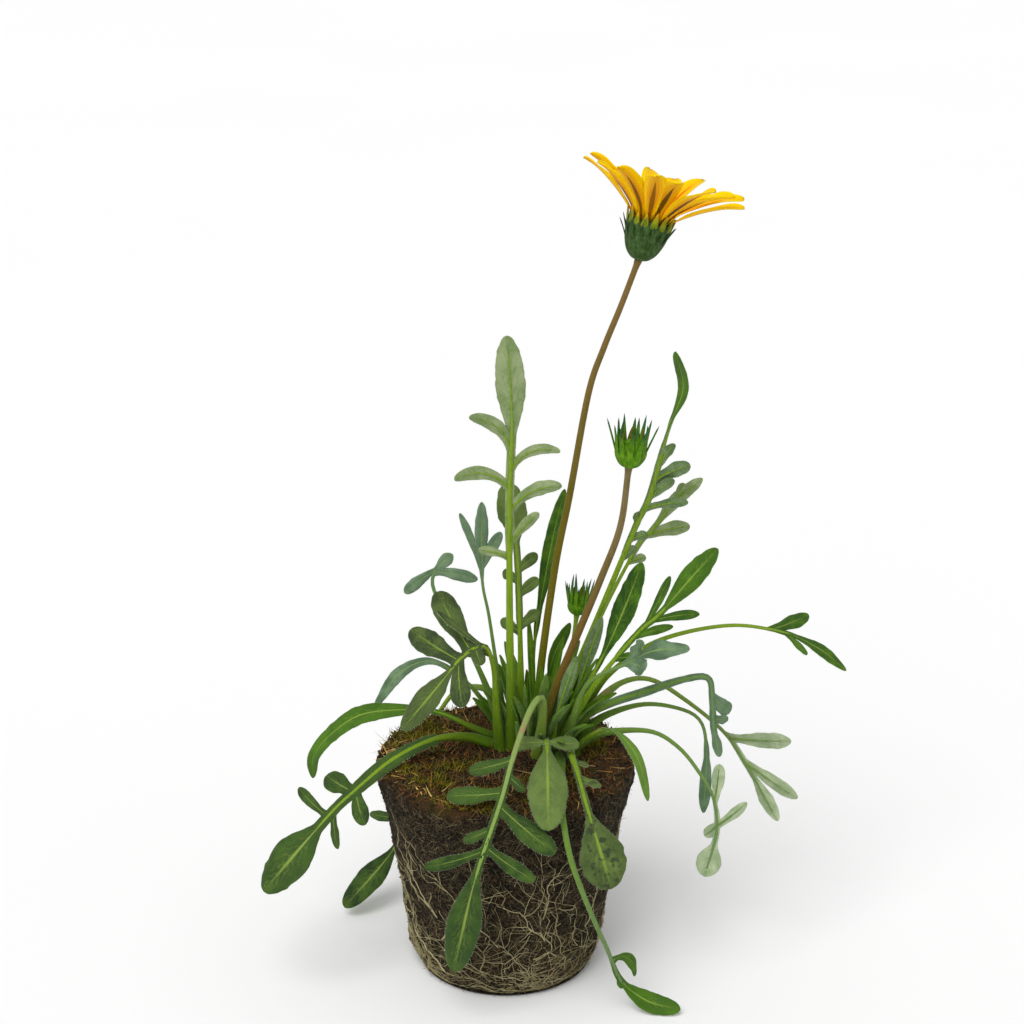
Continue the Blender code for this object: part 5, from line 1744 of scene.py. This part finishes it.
# %% A root
ROOT_STEP = 1.3
ROOT_HEIGHTS = (1.4, 92.0)
STRAY_KEPT, STRAY_STEP = 0.80, 0.28
KINK_CHANCE, KINK = 0.10, 0.8
ROOT_TAPER = 0.75


def root_finish(name, pale, dark):
    """Cream to tan roots, each in its own tone, stained by the peat in places."""
    f = Finish(name, 0.6)
    _, _, number = f.marks()
    body = f.mix(number, dark, pale)
    body = f.mix(f.between(f.noise(240, 3.0), 0.52, 0.66, 0.0, 0.7), body, tint(58, 44, 28))
    f.bump((f.noise(2600, 2.0), 0.10))
    return f.colour(body)


ROOT = root_finish("roots", tint(186, 178, 136), tint(106, 95, 56))


def root_path(turn, height, heading, length, draw, lift):
    """A kinked line over the ball that keeps to its heading: 0 is level, a quarter turn is up."""
    lowest, highest = ROOT_HEIGHTS
    points = []
    stray = 0.0
    for _ in range(int(length / ROOT_STEP)):
        radius = ball_radius(height)
        out = ring_way(turn)
        spot = out * radius
        push = clods(spot[0], spot[1], height) * 0.8 + lift
        points.append(out * (radius + push) + np.array([0, 0, height]))
        stray = stray * STRAY_KEPT + draw.uniform(-STRAY_STEP, STRAY_STEP)
        if draw.random() < KINK_CHANCE:
            stray += draw.choice((-KINK, KINK))
        turn += math.cos(heading + stray) * ROOT_STEP / radius
        height += math.sin(heading + stray) * ROOT_STEP
        if not lowest < height < highest:
            heading, stray = -heading, 0.0
            height = min(highest, max(lowest, height))
    return np.array(points)


def add_root(skin, points, thick, number, sides=5):
    """A root as a thin tapering tube."""
    if len(points) < 4:
        return
    side, up = carried_frames(points, (0.3, 0.2, 0.9))
    shares = np.linspace(0.0, 1.0, len(points))
    radii = thick * (1.0 - ROOT_TAPER * shares ** 1.5)
    add_rod(skin, points, side, up, radii, shares, number, sides)


print("a root bends every", ROOT_STEP, "mm")

# %% [markdown]
# ## The net of roots
# Long roots come first, each with its branches, then a fine net between them, and last the mat that circled
# the pot's foot. They lie thickest in the lowest third, and crowd in some places more than in others.

# %% Root net
# Where the roots crowd: the middle angle and the spread, seen from above
ROOT_CROWDS = [(math.radians(-58), 0.45), (math.radians(-165), 0.35), (math.radians(70), 0.8)]
CROWDED_SHARE = 0.45
LONG_ROOTS, FINE_ROOTS, MAT_ROOTS = 58, 560, 170


def root_turn(draw):
    """A place round the ball: many roots crowd in a few places."""
    if draw.random() < CROWDED_SHARE:
        return draw.gauss(*draw.choice(ROOT_CROWDS))
    return draw.uniform(0, 2 * math.pi)


def grow_roots():
    """Long roots with their branches, then the net, then the mat round the foot."""
    draw = random.Random(17)
    skin = Skin()
    for _ in range(LONG_ROOTS):
        turn = root_turn(draw)
        height = 2.0 + 42.0 * draw.random() ** 1.5
        heading = math.radians(draw.choice((15, 40, 62, 118, 140, 165)) + draw.uniform(-12, 12))
        thick = draw.uniform(0.16, 0.36)
        tone = draw.uniform(0.3, 1.0)
        line = root_path(turn, height, heading, draw.uniform(26.0, 66.0), draw, 0.3)
        add_root(skin, line, thick, tone)
        for _ in range(draw.randrange(3, 7)):
            spot = line[draw.randrange(len(line) // 6, len(line) - 2)]
            way = heading + draw.choice((-1, 1)) * draw.uniform(0.4, 1.1)
            start = math.atan2(spot[1], spot[0])
            branch = root_path(start, spot[2], way, draw.uniform(8.0, 26.0), draw, 0.25)
            add_root(skin, branch, thick * 0.6, tone)
    for _ in range(FINE_ROOTS):
        height = 1.8 + 64.0 * draw.random() ** 2.0
        way = math.radians(draw.choice((20, 60, 90, 120, 160)) + draw.uniform(-25, 25))
        way *= draw.choice((-1, 1))
        line = root_path(root_turn(draw), height, way, draw.uniform(7.0, 24.0), draw, 0.12)
        add_root(skin, line, draw.uniform(0.09, 0.19), draw.random(), 4)
    for _ in range(MAT_ROOTS):
        way = draw.choice((0.0, math.pi)) + draw.uniform(-0.5, 0.5)
        turn = root_turn(draw)
        height = 1.5 + 20.0 * draw.random() ** 1.8
        line = root_path(turn, height, way, draw.uniform(12.0, 34.0), draw, 0.2)
        add_root(skin, line, draw.uniform(0.12, 0.26), draw.uniform(0.0, 0.9), 4)
    return grown(skin, "root_net", [ROOT], "peat")


roots = grow_roots()
print("root faces:", len(roots.data.polygons))

# %% [markdown]
# ## Strips
# Peat isn't smooth between the roots: it bristles with fibres, moss and bits of straw. Thin curved strips are
# enough for all of them, because only their number and direction show. Each strip's own number shifts its tone.

# %% Strips
LOWEST_LITTER = 0.4
STRIP_TAPER = 0.75


def litter_finish(name, first, second):
    """A matt finish that varies from strip to strip by its number mark."""
    f = Finish(name, 0.85)
    _, _, number = f.marks()
    return f.colour(f.mix(number, first, second))


FIBRE = litter_finish("peat fibres", tint(50, 46, 32), tint(134, 122, 90))
RUST = litter_finish("reddish fibres", tint(76, 42, 20), tint(172, 116, 58))
MOSS = litter_finish("moss", tint(52, 56, 8), tint(142, 136, 26))
CRUMB = litter_finish("peat crumbs", tint(26, 20, 14), tint(96, 66, 40))
STRAW = litter_finish("straw", tint(150, 104, 44), tint(216, 184, 112))


def add_strip(skin, root, way, normal, length, width, draw, bend=0.4, steps=3, slot=0):
    """One thin curved strip."""
    side = unit(np.cross(way, normal))
    points = []
    spot = np.array(root, float)
    number = draw.random()
    curve = draw.uniform(-bend, bend)
    swing = draw.uniform(-bend, bend)
    for k in range(steps + 1):
        half = side * width / 2 * (1.0 - STRIP_TAPER * k / steps)
        points += [spot - half, spot + half]
        way = unit(way + normal * curve / steps + side * swing / steps)
        spot = spot + way * length / steps
        spot[2] = max(spot[2], LOWEST_LITTER)
    faces = [[2 * k, 2 * k + 1, 2 * k + 3, 2 * k + 2] for k in range(steps)]
    marks = np.tile([0.0, 0.0, number], (len(points), 1))
    skin.loose(np.array(points), marks, faces, slot)


print("strips stay", LOWEST_LITTER, "mm above the ground")

# %% [markdown]
# ## Places on the ball
# Litter needs random places on the side and on the top. On a disc, the square root of an even draw spreads
# them evenly, where a plain one would crowd them in the middle.

# %% Places on the ball
TOP_RADIUS = 55.0


def spot_on_side(draw, low, high):
    """A place on the ball's side, and the way out."""
    turn = draw.uniform(0, 2 * math.pi)
    height = draw.uniform(low, high)
    out = ring_way(turn)
    radius = ball_radius(height)
    flat = out * radius
    return out * (radius + clods(flat[0], flat[1], height) - 0.15) + np.array([0, 0, height]), out


def spot_over(x, y, lift):
    """A point this far above the soil's upper surface."""
    return np.array([x, y, soil_top(x, y) + lift])


def spot_on_top(draw, inner=0.0, outer=TOP_RADIUS):
    """A place on the soil's upper surface, sunk a little into it."""
    turn = draw.uniform(0, 2 * math.pi)
    radius = math.sqrt(draw.uniform((inner / TOP_RADIUS) ** 2, (outer / TOP_RADIUS) ** 2)) * TOP_RADIUS
    return spot_over(math.cos(turn) * radius, math.sin(turn) * radius, -0.1)


def any_way(draw):
    """A direction drawn evenly from all."""
    return unit(np.array([draw.gauss(0, 1), draw.gauss(0, 1), draw.gauss(0, 1)]))


print("the soil's top lies at", round(float(spot_over(0.0, 0.0, 0.0)[2]), 1), "mm in the middle")

# %% [markdown]
# ## Fibres
# On the side the fibres lie nearly flat, pressed by the pot. On top they are redder and stand up more. If they
# all stood out, the ball's outline would look like fur.

# %% Fibres
SIDE_FIBRES, TOP_FIBRES = 8200, 4200
SIDE_HEIGHTS = (2.0, 96.5)
RUSTY_SHARE = 0.70


def grow_fibres():
    """Short fibres lying on the side, and looser ones on the top."""
    draw = random.Random(29)
    skin = Skin()
    for _ in range(SIDE_FIBRES):
        root, out = spot_on_side(draw, *SIDE_HEIGHTS)
        way = any_way(draw)
        way = unit(way - out * (way.dot(out) - 0.05))
        add_strip(skin, root + out * 0.12, way, out, draw.uniform(1.5, 6.5), draw.uniform(0.10, 0.26),
                  draw, 0.22)
    for _ in range(TOP_FIBRES):
        root = spot_on_top(draw)
        way = any_way(draw)
        way = unit(np.array([way[0], way[1], abs(way[2]) * 0.30]))
        add_strip(skin, root, way, UP, draw.uniform(2.0, 7.5), draw.uniform(0.16, 0.42), draw, 0.8,
                  slot=1 if draw.random() < RUSTY_SHARE else 0)
    return grown(skin, "peat_fibres", [FIBRE, RUST], "peat")


fibres = grow_fibres()
print("fibre faces:", len(fibres.data.polygons))

# %% [markdown]
# ## Crumbs
# Loose crumbs break the outline of the ball and cast small shadows that noise in the skin can't. Each is an
# eight-sided lump pulled out of shape, small enough that nothing finer would show.

# %% Crumbs
CRUMB_COUNT = 4200
CRUMB_SKEW = 0.35
LUMP_POINTS = np.array([(1, 0, 0), (-1, 0, 0), (0, 1, 0), (0, -1, 0), (0, 0, 1), (0, 0, -1)], float)
LUMP_SIDES = [(4, 0, 2), (4, 2, 1), (4, 1, 3), (4, 3, 0), (5, 2, 0), (5, 1, 2), (5, 3, 1), (5, 0, 3)]


def grow_crumbs():
    """Crumbs of peat, each a small uneven lump."""
    draw = random.Random(37)
    skin = Skin()
    for i in range(CRUMB_COUNT):
        centre = spot_on_top(draw, 0.0, 56.0) if i % 3 else spot_on_side(draw, 1.5, 96.5)[0]
        size = draw.uniform(0.25, 0.95) * np.array([draw.uniform(0.6, 1.3) for _ in range(3)])
        skew = np.array([any_way(draw) for _ in LUMP_POINTS]) * CRUMB_SKEW
        marks = np.tile([0.0, 0.0, draw.random() ** 2], (len(LUMP_POINTS), 1))
        skin.loose(centre + (LUMP_POINTS + skew) * size, marks, LUMP_SIDES, 0)
    return grown(skin, "peat_crumbs", [CRUMB], "peat")


crumbs = grow_crumbs()
print("crumb faces:", len(crumbs.data.polygons))

# %% [markdown]
# ## Moss and straw
# Moss grows in tufts where the top stays damp: at the back, round the rim and on the left. Each tuft is a few
# dozen short strips that fan out, with longer strands creeping between. Straw lies over it all and has gathered
# at one place on the rim.

# %% Moss and straw
TUFTS, TUFT_LEAVES, TUFT_STRANDS = 96, 46, 7
LEAF_SPREAD, STRAND_SPREAD = 2.3, 4.0
STRAWS, HEAPED_SHARE = 90, 0.35
# Where straw gathered at the rim: the middle angle and the spread, seen from above
STRAW_HEAP = (math.radians(195), 0.35)
MOSS_LEAST = 0.62


def moss_likely(spot):
    """How likely moss is here."""
    back = 0.4 * smooth_step((spot[1] + 10.0) / 30.0)
    rim = 0.3 * smooth_step((math.hypot(spot[0], spot[1]) - 38.0) / 12.0)
    left = 0.25 * smooth_step(-spot[0] / 30.0)
    return noise.noise(Vector(spot) / 13.0) * 1.5 + (0.30 + back + rim + left)


def add_tuft(skin, centre, draw):
    """One tuft: short leaves that fan out, and a few strands that creep."""
    for _ in range(TUFT_LEAVES):
        spread = np.array([draw.gauss(0, LEAF_SPREAD), draw.gauss(0, LEAF_SPREAD), 0.0])
        x, y = centre[0] + spread[0], centre[1] + spread[1]
        if math.hypot(x, y) > 56.0:
            continue
        way = unit(np.array([spread[0] * 0.25, spread[1] * 0.25, 1.0]) + any_way(draw) * 0.5)
        add_strip(skin, spot_over(x, y, -0.2), way, any_way(draw), draw.uniform(1.4, 3.8),
                  draw.uniform(0.25, 0.5), draw, 0.7, 2)
    for _ in range(TUFT_STRANDS):
        spread = np.array([draw.gauss(0, STRAND_SPREAD), draw.gauss(0, STRAND_SPREAD), 0.0])
        x, y = centre[0] + spread[0], centre[1] + spread[1]
        if math.hypot(x, y) > TOP_RADIUS:
            continue
        way = any_way(draw)
        way = unit(np.array([way[0], way[1], 0.25]))
        add_strip(skin, spot_over(x, y, 0.3), way, UP, draw.uniform(4.0, 9.0), draw.uniform(0.22, 0.42),
                  draw, 0.7, 4)


def grow_moss():
    """Tufts of moss on the soil, and the straws."""
    draw = random.Random(31)
    skin = Skin()
    tufts = 0
    while tufts < TUFTS:
        centre = spot_on_top(draw, 8.0, 55.5)
        if moss_likely(centre) < MOSS_LEAST:
            continue
        tufts += 1
        add_tuft(skin, centre, draw)
    for _ in range(STRAWS):
        root = spot_on_top(draw, 20.0, 54.0) + UP * 0.6
        if draw.random() < HEAPED_SHARE:
            turn, radius = draw.gauss(*STRAW_HEAP), draw.uniform(44.0, 54.0)
            root = spot_over(math.cos(turn) * radius, math.sin(turn) * radius, 0.6)
        way = any_way(draw)
        way = unit(np.array([way[0], way[1], 0.12]))
        add_strip(skin, root, way, UP, draw.uniform(3.0, 10.0), draw.uniform(0.4, 1.0), draw, 0.5, 4, slot=1)
    return grown(skin, "moss_tufts", [MOSS, STRAW], "peat")


moss = grow_moss()
print("moss and straw faces:", len(moss.data.polygons))

# %% [markdown]
# ## The floor
# A plain pale floor catches the soft shadow that shows where the ball stands. It is marked as stage, so that it
# isn't taken for a part of the plant, and lies a hair's breadth lower, so that the two don't flicker.

# %% Floor
FLOOR_SIZE = 30.0
FLOOR_HEIGHT = -0.0003


def plain_finish(name, colour, roughness):
    """A matt studio surface with the faintest unevenness."""
    f = Finish(name, roughness)
    return f.colour(f.mix(f.between(f.noise(2.0, 2.0), 0.3, 0.7, 0.0, 0.25), colour, tint(240, 240, 240)))


bpy.ops.mesh.primitive_plane_add(size=FLOOR_SIZE, location=(0.0, 0.0, FLOOR_HEIGHT))
floor = bpy.context.object
floor.name = "studio_floor"
floor.data.materials.append(plain_finish("pale floor", tint(244, 244, 244), 0.9))
floor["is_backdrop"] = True
print("floor:", FLOOR_SIZE, "m across")

# %% [markdown]
# ## Light
# One broad lamp from the upper left shapes the leaves, and a bright, even sky fills the shadows. A sun lamp far
# off is as strong on the floor as on the flower, and its wide angle makes its shadows soft.

# %% Light
SUN_PLACE = (-0.45, -0.9, 1.6)
SUN_SPREAD = math.radians(40.0)
SUN_POWER = 1.9
LIT_PLACE = Vector((0.0, 0.0, 0.17))
SKY_POWER = 0.62

sun = bpy.data.lights.new("key light", "SUN")
sun.energy = SUN_POWER
sun.angle = SUN_SPREAD
lamp = bpy.data.objects.new("key light", sun)
lamp.location = SUN_PLACE
lamp.rotation_euler = (LIT_PLACE - Vector(SUN_PLACE)).to_track_quat("-Z", "Y").to_euler()
bpy.context.scene.collection.objects.link(lamp)

world = bpy.data.worlds.new("studio")
world.use_nodes = True
sky = world.node_tree.nodes["Background"]
sky.inputs["Color"].default_value = (1.0, 1.0, 1.0, 1.0)
sky.inputs["Strength"].default_value = SKY_POWER
bpy.context.scene.world = world
bpy.context.scene.view_settings.view_transform = "Standard"
print("lamp:", SUN_POWER, "sky:", SKY_POWER)

# %% [markdown]
# ## Camera
# The camera looks down at twenty degrees through a long lens from a metre away, as the photograph's did. A
# small shift centres the plant without changing the angle.

# %% Camera
ELEVATION = math.radians(20.0)
DISTANCE = 1.023
TARGET = Vector((0.003, 0.0, 0.223))

lens = bpy.data.cameras.new("camera")
lens.lens = 85.0
lens.sensor_width = 36.0
lens.shift_y = -0.022
camera = bpy.data.objects.new("camera", lens)
camera.location = TARGET + Vector((0.0, -math.cos(ELEVATION), math.sin(ELEVATION))) * DISTANCE
camera.rotation_euler = (math.pi / 2 - ELEVATION, 0.0, 0.0)
bpy.context.scene.collection.objects.link(camera)
bpy.context.scene.camera = camera
print("camera:", [round(v, 3) for v in camera.location])

# %% [markdown] ## Sizes and finish The dressed plant should be as large as its solids, give or take a hair.

# %% Sizes and finish
new_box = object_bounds()
print("visual box:", [round(v / MM, 1) for corner in new_box for v in corner])
